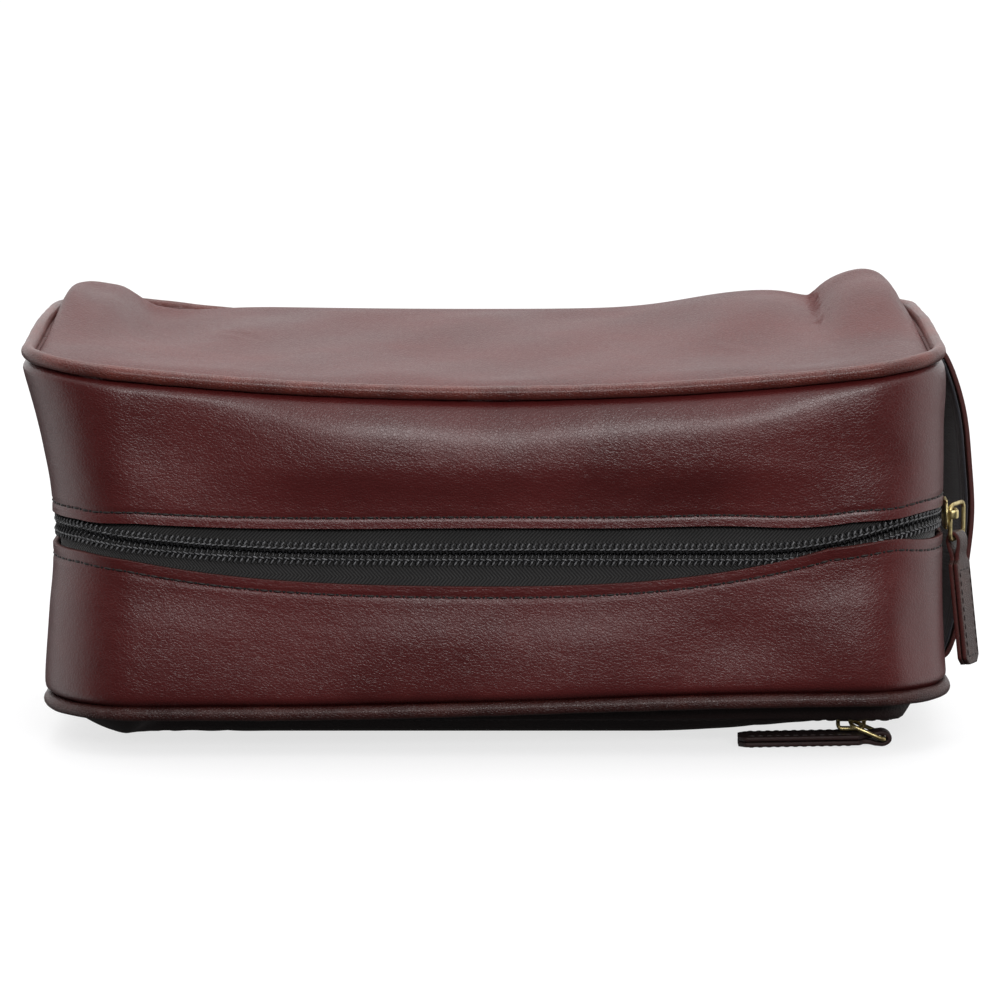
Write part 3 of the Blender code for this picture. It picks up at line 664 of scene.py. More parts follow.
@dataclass(frozen=True)
class Cloth:
    """Woven cloth that follows the piece's own UV map, in metres along and across it."""

    name: str
    dark: Colour
    light: Colour
    weave: Weave
    thread: float
    band: float = 2.2
    depth: float = 0.12
    sheen: float = 0.25
    space: str = "UV"

    def threads(self, n: Nodes) -> Socket:
        """The height of the threads, 0 to 1.

        Herringbone is sin(2 pi (u + zigzag(v)) / thread), ribbed has ribs across with fine threads over them, and
        plain multiplies the two ways.
        """
        split = n.node("ShaderNodeSeparateXYZ")
        n.feed(split.inputs[0], n.coords(self.space))
        u, v = split.outputs[0], split.outputs[1]
        turn = 2 * math.pi / (self.thread * MM)
        if self.weave is Weave.HERRINGBONE:
            zig = n.math("PINGPONG", v, self.band * MM)
            slant = n.math("ADD", u, n.math("MULTIPLY", zig, 1.1))
            wave = n.math("SINE", n.math("MULTIPLY", slant, turn))
            return n.span(wave, -1, 1)
        across = n.math("SINE", n.math("MULTIPLY", v, turn))
        along = n.math("SINE", n.math("MULTIPLY", u, turn))
        if self.weave is Weave.RIBBED:
            rib = n.math("SINE", n.math("MULTIPLY", v, turn / 3.2))
            return n.span(n.math("ADD", n.math("MULTIPLY", across, along), n.math("MULTIPLY", rib, 1.6)), -2.6, 2.6)
        return n.span(n.math("MULTIPLY", across, along), -1, 1)

    def build(self) -> bpy.types.Material:
        """The material: threads with a little fuzz and lint."""
        n = Nodes(self.name)
        height = self.threads(n)
        fuzz = n.noise(n.coords(), 2600, 2.0, 0.6)
        slow = n.noise(n.coords(), 60, 2.0)
        mixed = n.math("ADD", n.math("MULTIPLY", height, 0.75), n.math("MULTIPLY", fuzz, 0.35))
        colour = n.blend(n.span(mixed, 0.15, 0.95), self.dark, self.light)
        colour = n.blend(n.span(slow, 0.4, 0.7, 0.0, 0.25), colour, self.dark)
        return n.dress(colour, 0.88, n.bump(mixed, self.depth, 0.9), Specular_IOR_Level=0.3,
                       Sheen_Weight=self.sheen, Sheen_Roughness=0.5)


@dataclass(frozen=True)
class Moulded:
    """Nylon of the zip's coils or waxed thread: fine noise in its colour and gloss."""

    name: str
    base: Colour
    light: Colour
    roughness: float
    scale: float = 900.0

    def build(self) -> bpy.types.Material:
        """The material."""
        n = Nodes(self.name)
        speck = n.noise(n.coords(), self.scale, 3.0, 0.6)
        colour = n.blend(n.span(speck, 0.38, 0.68), self.base, self.light)
        rough = n.span(speck, 0.3, 0.7, self.roughness - 0.06, self.roughness + 0.08)
        return n.dress(colour, rough, n.bump(speck, 0.03, 0.6), Specular_IOR_Level=0.45)


@dataclass(frozen=True)
class AgedBrass:
    """Antique brass: dark tarnish in patches and fine brushing."""

    name: str = "antique_brass_aged"
    bright: Colour = tone(206, 190, 138)
    dark: Colour = tone(112, 94, 58)

    def build(self) -> bpy.types.Material:
        """The material: tarnish from noise, with scratches along Z."""
        n = Nodes(self.name)
        patch = n.noise(n.coords(), 420, 4.0, 0.6)
        scratch = n.noise(n.stretch(n.coords(), (1.0, 1.0, 0.12)), 5200, 2.0, 0.5)
        colour = n.blend(n.span(patch, 0.46, 0.68), self.bright, self.dark)
        rough = n.math("ADD", n.span(patch, 0.35, 0.7, 0.26, 0.50), n.span(scratch, 0.3, 0.7, 0.0, 0.10))
        return n.dress(colour, rough, n.bump(scratch, 0.02, 0.5), Metallic=1.0)


@dataclass(frozen=True)
class Ground:
    """The pale floor: a lit white sheet with a faint cloudiness, on which shadows are faint."""

    name: str = "pale_ground"

    def build(self) -> bpy.types.Material:
        """The material."""
        n = Nodes(self.name)
        cloud = n.noise(n.coords(), 4, 3.0)
        colour = n.blend(n.span(cloud, 0.3, 0.7), tone(132, 132, 133), tone(138, 138, 139))
        return n.dress(colour, 0.6, None, Specular_IOR_Level=0.2, Emission_Strength=0.72,
                       Emission_Color=(1.0, 1.0, 1.0, 1.0))


class Finishes:
    """Every material of the bag, built once."""

    def __init__(self) -> None:
        """Builds them."""
        deep, light, worn = tone(70, 20, 20), tone(84, 26, 26), tone(104, 42, 37)
        self.hide = Hide("burgundy_hide", deep, light, worn).build()
        # A lighter, greyer copy of the wall's hide for the top panel: painted sheen, the overhead light and grazing
        # reflection that the upward face catches.
        self.panel_hide = Hide("burgundy_hide_panel_painted_sheen", tone(78, 33, 32), tone(92, 41, 39), tone(106, 54, 49),
                               cell=1.15, grain=0.17, roughness=0.46, coat=0.06).build()
        # A near-black copy of the hide for the back panel and the pocket pull under the bag: painted shade.
        self.painted_shade_hide = Hide("burgundy_hide_painted_shade", tone(20, 6, 6), tone(30, 10, 9), tone(38, 15, 13),
                               roughness=0.6, coat=0.0).build()
        self.piping = Hide("piping_hide", tone(76, 28, 23), tone(100, 40, 32), tone(140, 76, 58), cell=0.9,
                           grain=0.12, roughness=0.40, mottle=60).build()
        # A darker copy of the piping's hide for the back piping, which faces down: painted shade.
        self.painted_shade_piping = Hide("piping_hide_painted_shade", tone(46, 16, 14), tone(62, 24, 20), tone(88, 44, 34), cell=0.9,
                               grain=0.12, roughness=0.44, coat=0.1, mottle=60).build()
        self.strap = Hide("strap_hide", tone(42, 20, 16), tone(62, 32, 25), tone(92, 54, 43), cell=0.9, grain=0.16,
                          roughness=0.48, mottle=70).build()
        self.edge = CutEdge().build()
        # A darker copy of the cut edge for the pocket pull under the bag: painted shade.
        self.painted_shade_edge = CutEdge("leather_cut_edge_painted_shade", tone(48, 20, 18), tone(28, 12, 11)).build()
        self.tape = Cloth("zip_tape_weave", tone(20, 19, 19), tone(58, 57, 57), Weave.HERRINGBONE, 1.05,
                          band=2.6, depth=0.2).build()
        self.webbing = Cloth("handle_webbing_weave", tone(16, 16, 19), tone(60, 60, 68), Weave.RIBBED, 0.9,
                             depth=0.3).build()
        self.lining = Cloth("lining_weave", tone(52, 44, 40), tone(82, 72, 66), Weave.PLAIN, 0.5, depth=0.05).build()
        self.coil = Moulded("coil_nylon", tone(12, 12, 13), tone(40, 40, 43), 0.30).build()
        self.thread = Moulded("waxed_thread", tone(16, 8, 8), tone(36, 20, 18), 0.55).build()
        # Near-black for the needle holes: painted shade in the holes.
        self.hole = Moulded("needle_hole", tone(8, 4, 4), tone(16, 8, 8), 0.8).build()
        self.zip_thread = Moulded("zip_thread", tone(62, 62, 64), tone(118, 118, 120), 0.62).build()
        self.cord = Cloth("piping_cord_twist", tone(150, 140, 120), tone(205, 196, 176), Weave.PLAIN, 0.8).build()
        self.pouch = Cloth("pouch_weave", tone(52, 44, 40), tone(82, 72, 66), Weave.PLAIN, 0.5, depth=0.05,
                           space="Object").build()
        self.brass = AgedBrass().build()
        self.ground = Ground().build()


# ---------------------------------------------------------------- shell


def loop_stations(front: int = 64, corner: int = 22, end: int = 22) -> Array:
    """Distances round the whole plan, the same count on the front and the rear so that their points face.

    Args:
        front, corner, end: steps along half the front, one arc and one end.

    Returns:
        Distances from just past -half_loop to half_loop, in order.
    """
    f = FORM
    marks = np.cumsum((0, f.cx, f.quarter, 2 * f.cy, f.quarter, f.cx))
    counts = (front, corner, end, corner, front)
    half = np.concatenate([np.linspace(a, b, n, endpoint=False) for a, b, n in zip(marks, marks[1:], counts)])
    half = np.append(half, f.half_loop)
    return np.concatenate((-half[-2:0:-1], half))


def stitch_runs(runs: Sequence[tuple[tuple[float, float], tuple[float, float]]], pitch: float) -> Array:
    """Middles of evenly spaced stitches along straight runs on a flat face.

    Args:
        runs: start and end of each run.
        pitch: about how far apart the stitches are.

    Returns:
        (n, 4): each middle, and the direction of its run.
    """
    rows = []
    for start, end in runs:
        start, way = np.asarray(start, float), np.subtract(end, start, dtype=float)
        count = max(2, int(round(float(np.linalg.norm(way)) / pitch)))
        t = ((np.arange(count) + 0.5) / count)[:, None]
        rows.append(np.hstack((start + way * t, np.tile(way, (count, 1)))))
    return np.concatenate(rows)


def run_stations(start: float, end: float, step: float) -> Array:
    """Evenly spaced distances along the plan between two points, about this far apart."""
    return np.linspace(start, end, max(3, int(round((end - start) / step)) + 1))


@dataclass
class Panels:
    """The front panel, and the back panel with its pocket slot."""

    looks: Finishes
    leather: float = 1.6
    rim_inset: float = 2.0
    pitch: float = 3.7
    insets: tuple[float, ...] = (0, 0.3, 0.7, 1.2, 1.9, 2.8, 3.9, 5.2, 6.8, 8.6, 10.6, 12.8, 15.2, 17.8, 20.6, 23.6,
                                 26.8, 30.2, 33.8, 37.6, 41.6, 46, 50.6, 55.5, 60.5)
    slot_x: tuple[float, float] = (-84.0, 111.0)
    slot_y: float = -53.0
    slot_half: float = 5.2

    @staticmethod
    def fan(s: Array, share: float, rim_inset: float, insets: Sequence[float]) -> tuple[Array, Array, Array]:
        """Points that fill the plan: p = rim + (spine - rim) * inset / distance, with a spine along the middle.

        Args:
            s: distances round the plan.
            share: 1 at the top of the wall, where the ends bulge and the front is drawn in, and 0 at its foot.
            rim_inset: distance of the rim inside the plan.
            insets: distances from the rim, to which the spine itself is added.

        Returns:
            x, y and inset, each (stations, insets + 1).
        """
        x, y, nx, ny = FORM.station(s)
        rim_x, rim_y = x - nx * rim_inset, y - ny * rim_inset
        spine = np.clip(rim_x, -62, 62)
        reach = np.hypot(rim_x - spine, rim_y)
        inset = np.concatenate((np.broadcast_to(insets, (len(s), len(insets))), reach[:, None]), axis=1)
        way = inset / reach[:, None]
        px = rim_x[:, None] + (spine - rim_x)[:, None] * way
        py = rim_y[:, None] * (1 - way)
        fade = (1 - way) ** 2
        bulge = FORM.end_bulge(x, np.full_like(x, share))[:, None]
        drawn = FORM.draw(x, ny, np.full_like(x, share))[:, None]
        return px + (bulge - nx[:, None] * drawn) * fade, py - ny[:, None] * drawn * fade, inset

    @staticmethod
    def front_height(x: Array, y: Array, inset: Array) -> Array:
        """The front panel: up round its rim, over a slack field with two rear corners that stand up.

        z = seam - sink + (lift + sink) b, with b = sqrt(1 - (1 - inset / rim)^2) and a rim that is wide in front.
        """
        sink = 1.3
        share = (y + FORM.half_depth) / (2 * FORM.half_depth)
        rear = ease(-30, 34, y) * (1 - 0.35 * ease(48, 66, y))
        dents = 1.4 * hill(x, -40, 70) * hill(y, -10, 34) + 0.9 * hill(x, 62, 30) * hill(y, -22, 22)
        left_corner = 6.2 * (1 - ease(-112, -100, x)) - 3.6 * hill(x, -95, 15)
        right_corner = 8.6 * np.maximum(0, 1 - ((x - 110.5) / 12.2) ** 2) ** 0.75 - 1.4 * hill(x, 97, 6)
        beside = 4.6 * hill(x, 79, 25) * ease(-20, 52, y) + 2.2 * ease(100, 122, x) * ease(-50, 20, y)
        long_wave = 0.4 * np.sin(x / 13 + y / 21) * ease(6, 24, inset)
        short_wave = 0.3 * np.sin(x / 7.5 - y / 10) * ease(6, 20, inset)
        lift = 1.6 + 2.4 * share - dents + (left_corner + right_corner) * rear + beside + long_wave + short_wave
        rim = 16.0 - 10.0 * ease(-20, 30, y)
        b = np.sqrt(1 - (1 - np.minimum(inset / rim, 1)) ** 2)
        seam = FORM.sag(x, y) + FORM.rise(x, y) * np.exp(-inset / 9)
        return seam - sink + (lift + sink) * b

    def back_height(self, x: Array, y: Array, inset: Array) -> Array:
        """The back panel's outer face: flat on the surface, and up to its seam and along the pocket zip."""
        rise = np.maximum(0, 1 - np.maximum(0, inset - 0.7) / 30) ** 2
        lift = 4.2 * ease(45, 120, x)
        seam = FORM.base_seam(x, y) - 0.4 + 1.2 * np.exp(-inset / 1.4)
        bowl = lift + (seam - lift) * rise
        along = ease(-104, -91, x) * (1 - ease(115.5, 121.0, x))
        across = ease(-64.6, -60.7, y) * (1 - ease(-46.4, -32, y))
        return bowl + (8.7 - bowl) * along * across * ease(0.6, 3.0, inset)

    def build_front(self) -> bpy.types.Object:
        """The front panel as one hide."""
        s = loop_stations()
        x, y, inset = self.fan(s, 1.0, self.rim_inset, self.insets)
        points = np.stack((x, y, self.front_height(x, y, inset)), axis=-1)
        # The front panel takes the lighter, greyer copy of the hide: painted sheen.
        obj = surface("front_panel_hide", points, (self.looks.panel_hide, self.looks.edge),
                      np.append(s, FORM.half_loop), np.arange(points.shape[1]), (True, False))
        self.weld(obj)
        thicken(obj, self.leather, 1)
        bends(obj, "leather", "front_panel", "mouth_panel")
        return obj

    def build_back(self) -> bpy.types.Object:
        """The back panel, with its slot cut out."""
        s = loop_stations()
        x, y, inset = self.fan(s, 0.0, self.rim_inset, self.insets)
        points = np.stack((x, y, self.back_height(x, y, inset)), axis=-1)
        # The back panel takes the near-black copy of the hide: painted shade where it lies on the floor.
        obj = surface("back_panel_hide", points, (self.looks.painted_shade_hide, self.looks.edge),
                      np.append(s, FORM.half_loop), np.arange(points.shape[1]), (True, False), flip=True)
        self.weld(obj)
        thicken(obj, self.leather, 1)
        carve(obj, self.slot_cutter())
        rides(obj, Part.BAG, "leather", "back_panel")
        return obj

    def slot_cutter(self) -> bpy.types.Object:
        """A long block with round ends that fills the pocket's slot."""
        a = np.linspace(0, 2 * math.pi, 48, endpoint=False)
        r = 2.2
        cx = np.where(np.cos(a) > 0, self.slot_x[1] - r, self.slot_x[0] + r)
        cy = self.slot_y + np.where(np.sin(a) > 0, 1, -1) * (self.slot_half - r)
        ring = np.stack((cx + r * np.cos(a), cy + r * np.sin(a)), axis=-1)
        rows = [np.column_stack((ring, np.full(48, z))) for z in (-4.0, 24.0)]
        return face_out(surface("slot_cutter", np.stack(rows), (self.looks.edge,), np.arange(2), np.arange(49),
                                (False, True), True))

    def stitch_slot(self) -> bpy.types.Object:
        """One row of stitches round the pocket's slot, on the back panel's outer face."""
        x0, x1 = self.slot_x[0] - 2.4, self.slot_x[1] + 2.2
        y0, y1 = self.slot_y - self.slot_half - 2.2, self.slot_y + self.slot_half + 2.4
        runs = []
        corners = ((x0, y0), (x1, y0), (x1, y1), (x0, y1))
        for (ax, ay), (bx, by) in zip(corners, corners[1:] + corners[:1]):
            count = int(math.hypot(bx - ax, by - ay) / self.pitch)
            t = (np.arange(count) + 0.5) / count
            runs.append(np.column_stack((ax + (bx - ax) * t, ay + (by - ay) * t, np.full(count, bx - ax),
                                         np.full(count, by - ay))))
        run = np.concatenate(runs)
        past_x, past_y = np.abs(run[:, 0]) - FORM.cx, np.abs(run[:, 1]) - FORM.cy
        inset = np.where((past_x > 0) & (past_y > 0), FORM.corner - np.hypot(past_x, past_y),
                         FORM.corner - np.maximum(past_x, past_y)) - self.rim_inset
        centres = np.column_stack((run[:, :2], self.back_height(run[:, 0], run[:, 1], inset) - 0.05))
        along = unit(np.column_stack((run[:, 2:], np.zeros(len(run)))))
        down = np.tile((0.0, 0.0, -1.0), (len(run), 1))
        obj = scatter("pocket_slot_stitches", stitch_shape(2.9, 0.27), centres, (along, np.cross(down, along), down),
                      (self.looks.thread,))
        rides(obj, Part.BAG, "leather")
        return obj

    @staticmethod
    def weld(obj: bpy.types.Object) -> None:
        """Merges the points that meet along the spine, without turning any face."""
        bm = bmesh.new()
        bm.from_mesh(obj.data)
        bmesh.ops.remove_doubles(bm, verts=bm.verts[:], dist=0.00002)
        bm.to_mesh(obj.data)
        bm.free()

    def build(self) -> None:
        """Builds both panels."""
        for obj in (self.build_front(), self.build_back(), self.stitch_slot()):
            log.info("made %s", obj.name)


def carve(obj: bpy.types.Object, cutter: bpy.types.Object) -> None:
    """Cuts another object out of this one, keeps the result as its mesh, and removes the cutter."""
    cut = obj.modifiers.new("slot", "BOOLEAN")
    cut.operation = "DIFFERENCE"
    cut.solver = "EXACT"
    cut.object = cutter
    graph = bpy.context.evaluated_depsgraph_get()
    result = bpy.data.meshes.new_from_object(obj.evaluated_get(graph))
    obj.modifiers.clear()
    obj.data = result
    bpy.data.objects.remove(cutter)


@dataclass
class Walls:
    """The leather strips of the wall: above the zip, below it, and round the rear."""

    looks: Finishes
    leather: float = 1.6
    split_y: float = -20.0
    step: float = 1.7
    edge_gap: float = 3.0
    pitch: float = 3.7
    row_gap: float = 4.0

    def strip(self, name: str, s: Array, low: Array, high: Array, rows: int) -> bpy.types.Object:
        """A strip of the wall between two edges: outer face = wall(s, z, 0.8 + relief), finest beside both edges.

        Args:
            name: the piece's name.
            s: distances along the plan.
            low, high: heights of its edges at each distance.
            rows: points across it.

        Returns:
            The piece.
        """
        t = (1 - np.cos(np.linspace(0, math.pi, rows))) / 2
        z = low[:, None] + (high - low)[:, None] * t[None]
        s2 = np.broadcast_to(s[:, None], z.shape)
        points = FORM.wall(s2, z, self.leather / 2 + self.relief(s2, z))
        obj = surface(name, points, (self.looks.hide, self.looks.edge), s, t * float(np.mean(high - low)))
        thicken(obj, self.leather, 1)
        return obj

    def relief(self, s: Array, z: Array) -> Array:
        """How far the leather's face stands out: its swell, and what lies along the zip.

        A stitched groove and a low welt follow each edge, and the lower strip rides over the chain it covers.
        """
        x, y, _, _ = FORM.station(s)
        gap = np.where(z > FORM.chain_height(x), z - FORM.upper_edge(x), FORM.lower_edge(x) - z)
        by_zip = np.where(y < self.split_y, 1.0, 0.0)
        groove = -0.38 * hill(gap, self.edge_gap, 0.6)
        welt = 0.10 * np.exp(-np.maximum(0, gap) / 1.5) * (1 - ease(112, 122, x))
        ride = 1.1 * hill(x, 98, 13) * np.exp(-np.maximum(0, gap) / 5) * (z < FORM.chain_height(x))
        return FORM.swell(s, z) + by_zip * (groove + welt + ride)

    def holes(self, name: str, s0: float, s1: float, height: Callable[[Array], Array]) -> bpy.types.Object:
        """The needle's holes between the stitches: near-black dimples along the groove, painted shade of the holes.
        """
        count = int((s1 - s0) / self.pitch)
        s = s0 + np.arange(count + 1) * self.pitch
        z = height(FORM.station(s)[0])
        _, _, nx, ny = FORM.station(s)
        out = np.column_stack((nx, ny, 0 * nx))
        along = np.column_stack((-ny, nx, 0 * nx))
        centres = FORM.wall(s, z, self.leather / 2 + self.relief(s, z) - 0.06)
        return scatter(name, stitch_shape(0.9, 0.42), centres, (along, np.cross(out, along), out), (self.looks.hole,))

    def stitches(self, name: str, s0: float, s1: float, height: Callable[[Array], Array]) -> bpy.types.Object:
        """A row of stitches along the wall at a height that depends on x."""
        count = int((s1 - s0) / self.pitch)
        s = s0 + (np.arange(count) + 0.5) * self.pitch

        def place(at: Array) -> Array:
            """Points on the leather's outer face."""
            z = height(FORM.station(at)[0])
            return FORM.wall(at, z, self.leather / 2 + self.relief(at, z) + 0.08)

        along = unit(place(s + 0.5) - place(s - 0.5))
        _, _, nx, ny = FORM.station(s)
        out = np.column_stack((nx, ny, 0 * nx))
        return scatter(name, stitch_shape(2.5, 0.36), place(s), (along, np.cross(out, along), out),
                       (self.looks.thread,))

    def build(self) -> None:
        """Builds the three strips, and the stitches and needle holes along the zip."""
        f = FORM
        end = f.at_end(self.split_y)
        front = run_stations(-end, end, self.step)
        x, y, _, _ = f.station(front)
        upper = self.strip("upper_zip_band_hide", front, f.upper_edge(x), f.top_seam(x, y) - 0.2, 46)
        bends(upper, "leather", "upper_zip_band")
        lower = self.strip("lower_zip_band_hide", front, f.base_seam(x, y) + 0.2, f.lower_edge(x), 40)
        rides(lower, Part.BAG, "leather", "lower_zip_band")

        span = run_stations(end + 0.15, 2 * f.half_loop - end - 0.15, self.step)
        rear = np.where(span > f.half_loop, span - 2 * f.half_loop, span)
        x, y, _, _ = f.station(rear)
        back = self.strip("base_gusset_hide", rear, f.base_seam(x, y) + 0.2, f.top_seam(x, y) - 0.2, 56)
        rides(back, Part.BAG, "leather", "base_gusset")

        start, stop = self.row_gap - end, end - self.row_gap
        row = self.stitches("upper_edge_stitches", start, stop, lambda at: f.upper_edge(at) + self.edge_gap)
        bends(row, "leather")
        below = self.stitches("lower_edge_stitches", start, stop, lambda at: f.lower_edge(at) - self.edge_gap)
        rides(below, Part.BAG, "leather")
        dots = self.holes("upper_edge_needle_holes", start, stop, lambda at: f.upper_edge(at) + self.edge_gap)
        bends(dots, "leather")
        more = self.holes("lower_edge_needle_holes", start, stop, lambda at: f.lower_edge(at) - self.edge_gap)
        rides(more, Part.BAG, "leather")
        for obj in (upper, lower, back, row, below, dots, more):
            log.info("made %s", obj.name)


@dataclass
class Piping:
    """The two piped seams: leather round a cord, with a faint ripple from its stitches."""

    looks: Finishes
    radius: float = 2.0

    def ring(self, name: str, height: Callable[[Array, Array], Array], share: float, lift: float) -> bpy.types.Object:
        """A closed tube along a seam: r = radius (1 + 0.02 sin(s / 2.1) + 0.012 sin(s / 5.7))."""
        s = loop_stations(110, 30, 30)
        x, y, nx, ny = FORM.station(s)
        full = np.full_like(x, share)
        out = 0.25 - FORM.draw(x, ny, full)
        path = np.stack((x + FORM.end_bulge(x, full) + nx * out, y + ny * out, height(x, y) + lift), axis=-1)
        ripple = self.radius * (1 + 0.02 * np.sin(s / 2.1) + 0.012 * np.sin(s / 5.7))
        # The back piping takes the darker copy of the piping's hide: painted shade.
        look = self.looks.piping if share else self.looks.painted_shade_piping
        return tube(name, path, ripple, (look,), 16, True)

    def build(self) -> None:
        """Builds the front and back piping."""
        front = self.ring("front_piping", FORM.top_seam, 1.0, 0.1)
        bends(front, "piping_leather", "front_piping_cover", "front_piping_cord", "mouth_piping_cover",
              "mouth_piping_cord")
        back = self.ring("back_piping", FORM.base_seam, 0.0, -0.1)
        rides(back, Part.BAG, "piping_leather", "back_piping_cover", "back_piping_cord")
        log.info("made %s and %s", front.name, back.name)


# ---------------------------------------------------------------- zips


@dataclass
class Chain:
    """A coil zip's chain along a line: its centres and the directions along, across and out."""

    looks: Finishes
    centres: Array
    along: Array
    out: Array
    pitch: float = 1.75

    def loop(self) -> tuple[Array, list]:
        """One turn of a coil: (a, b, c) = (0.40 cos t, 1.33 - 1.43 cos t, 0.86 sin t)."""
        t = np.linspace(0, 2 * math.pi, 12, endpoint=False)
        path = np.stack((0.40 * np.cos(t), 1.33 - 1.43 * np.cos(t), 0.86 * np.sin(t)), axis=-1)
        return ring_shape(path, 0.31, 6)

    def side(self, name: str, sign: int) -> list[bpy.types.Object]:
        """One half of the chain: its coil and the two rows of thread that hold it.

        Args:
            name: start of the pieces' names.
            sign: 1 for the side that lies along out x along, -1 for the other.

        Returns:
            The coil and its thread.
        """
        across = np.cross(self.out, self.along) * sign
        shift = self.along * (0.25 * self.pitch * sign)
        coil = scatter(name + "_coil_turns", self.loop(), self.centres + shift, (self.along, across, self.out),
                       (self.looks.coil,))
        outer = self.centres + shift + across * 2.45 + self.out * 0.98
        inner = self.centres + across * 1.42 + self.out * 1.16
        lean = unit(self.along * 0.62 * sign + across)
        axes = [np.concatenate(v) for v in ((lean, unit(self.along + 0.25 * across)),
                                            (np.cross(self.out, lean), np.cross(self.out, self.along)),
                                            (self.out, self.out))]
        thread = scatter(name + "_coil_stitches", stitch_shape(1.55, 0.24), np.concatenate((outer, inner)),
                         tuple(axes),
                         (self.looks.zip_thread,))
        return [coil, thread]


def wall_chain(looks: Finishes, s0: float, s1: float, depth: float, pitch: float) -> Chain:
    """The main zip's chain along the wall, this far behind the leather's middle."""
    count = int((s1 - s0) / pitch)
    s = s0 + (np.arange(count) + 0.5) * (s1 - s0) / count

    def place(at: Array) -> Array:
        """Middle of the chain."""
        return FORM.wall(at, FORM.chain_height(FORM.station(at)[0]), -depth)

    _, _, nx, ny = FORM.station(s)
    return Chain(looks, place(s), unit(place(s + 0.4) - place(s - 0.4)), np.column_stack((nx, ny, 0 * nx)), pitch)


@dataclass
class MainZip:
    """Tapes, chain, stops and end tabs of the main zip."""

    looks: Finishes
    depth: float = 0.9
    tape_end: float = -21.5
    closed_y: float = -39.5
    open_y: float = -31.2

    def tape(self, name: str, sign: int) -> bpy.types.Object:
        """One tape: from beside the chain to under the leather, slightly dished between them."""
        end = FORM.at_end(self.tape_end)
        s = run_stations(-end, end, 2.4)
        x, _, _, _ = FORM.station(s)
        middle = FORM.chain_height(x)
        edge = FORM.upper_edge(x) + 6 if sign > 0 else FORM.lower_edge(x) - 6
        t = np.linspace(0, 1, 10)
        near = middle + sign * 0.35
        z = near[:, None] + (edge - near)[:, None] * t[None]
        s2 = np.broadcast_to(s[:, None], z.shape)
        out = -self.depth - 0.25 - 0.25 * np.sin(math.pi * t)[None] + 0 * z
        points = FORM.wall(s2, z, out)
        width = float(np.mean(np.abs(edge - near)))
        obj = surface(name, points, (self.looks.tape,), s, t * sign * width, flip=sign < 0)
        thicken(obj, 0.6)
        return obj

    def tabs(self) -> None:
        """Softer end tabs and stops in place of the frame's blocks."""
        for name in ("zip_end_tab_left", "zip_end_tab_right"):
            swap_block(name, self.looks.strap, "leather", 0.3)
        for name in ("zip_bottom_stop", "zip_top_stop_lower", "zip_top_stop_upper"):
            swap_block(name, self.looks.brass, "antique_brass", 0.4)

    def build(self) -> None:
        """Builds both sides."""
        chain = wall_chain(self.looks, -FORM.at_end(self.open_y), FORM.at_end(self.closed_y), self.depth, 1.75)
        upper = [self.tape("upper_tape_cloth", 1), *chain.side("upper", 1)]
        bends(upper[0], "zip_tape", "upper_zip_tape")
        bends(upper[1], "zip_coil", "upper_zip_coil")
        bends(upper[2], "zip_tape")
        lower = [self.tape("lower_tape_cloth", -1), *chain.side("lower", -1)]
        rides(lower[0], Part.BAG, "zip_tape", "lower_zip_tape")
        rides(lower[1], Part.BAG, "zip_coil", "lower_zip_coil")
        rides(lower[2], Part.BAG, "zip_tape")
        self.tabs()
        for obj in upper + lower:
            log.info("made %s", obj.name)


def swap_block(node: str, look: bpy.types.Material, slot: str, power: float) -> None:
    """Puts a soft-edged block of the same size in place of one of the frame's, on the bag."""
    low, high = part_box(node)
    obj = rounded_block(node + "_rounded", np.asarray(low) / MM, np.asarray(high) / MM, (look,), power)
    rides(obj, Part.BAG, slot, node)
    log.info("made %s", obj.name)


@dataclass
class PocketZip:
    """The zip in the back panel's slot."""

    looks: Finishes
    line_y: float = -53.0
    line_z: float = 10.4
    start: float = -84.0
    end: float = 111.0
    slider: float = 102.5
    pitch: float = 1.75
    tape_wide: float = 5.6
    tape_near: float = 0.35

    def tape(self, name: str, sign: int) -> bpy.types.Object:
        """One tape, facing down, from beside the chain to above the leather."""
        x = run_stations(self.start - 4, self.end - 3.5, 3.0)
        t = np.linspace(0, 1, 8)
        y = self.line_y - sign * (self.tape_near + (self.tape_wide - self.tape_near) * t)
        points = np.stack(np.broadcast_arrays(x[:, None], y[None], self.line_z + 0.25 + 0 * y[None]), axis=-1)
        obj = surface(name, points, (self.looks.tape,), x, t * 5.4 * sign, flip=sign < 0)
        thicken(obj, 0.6)
        return obj

    def build(self) -> None:
        """Builds tapes, coils, threads and stops."""
        first, last = self.start + 6, self.slider + 1.5
        count = int((last - first) / self.pitch)
        x = first + (np.arange(count) + 0.5) * self.pitch
        centres = np.column_stack((x, np.full(count, self.line_y), np.full(count, self.line_z)))
        chain = Chain(self.looks, centres, np.tile((1.0, 0, 0), (count, 1)), np.tile((0, 0, -1.0), (count, 1)))
        for side, sign in (("front", 1), ("rear", -1)):
            tape = self.tape(f"pocket_{side}_tape_cloth", sign)
            rides(tape, Part.BAG, "zip_tape", f"pocket_tape_{side}")
            coil, thread = chain.side(f"pocket_{side}", sign)
            rides(coil, Part.BAG, "zip_coil", f"pocket_coil_{side}")
            rides(thread, Part.BAG, "zip_tape")
            log.info("made the pocket zip's %s side", side)
        for name in ("pocket_top_stop_front", "pocket_top_stop_rear", "pocket_bottom_stop"):
            swap_block(name, self.looks.brass, "antique_brass", 0.4)


# ---------------------------------------------------------------- hardware


@dataclass(frozen=True)
class Frame:
    """A place in millimetres with three directions, in which a small part's own u, v and w are measured."""

    origin: tuple[float, float, float]
    u: tuple[float, float, float]
    v: tuple[float, float, float]
    w: tuple[float, float, float]

    def place(self, local: Array) -> Array:
        """Points (..., 3) carried to origin + u U + v V + w W."""
        return np.asarray(self.origin) + np.asarray(local, float) @ np.array((self.u, self.v, self.w), float)


def signed_power(value: Array, power: float) -> Array:
    """sign(value) * |value| ** power."""
    return np.sign(value) * np.abs(value) ** power


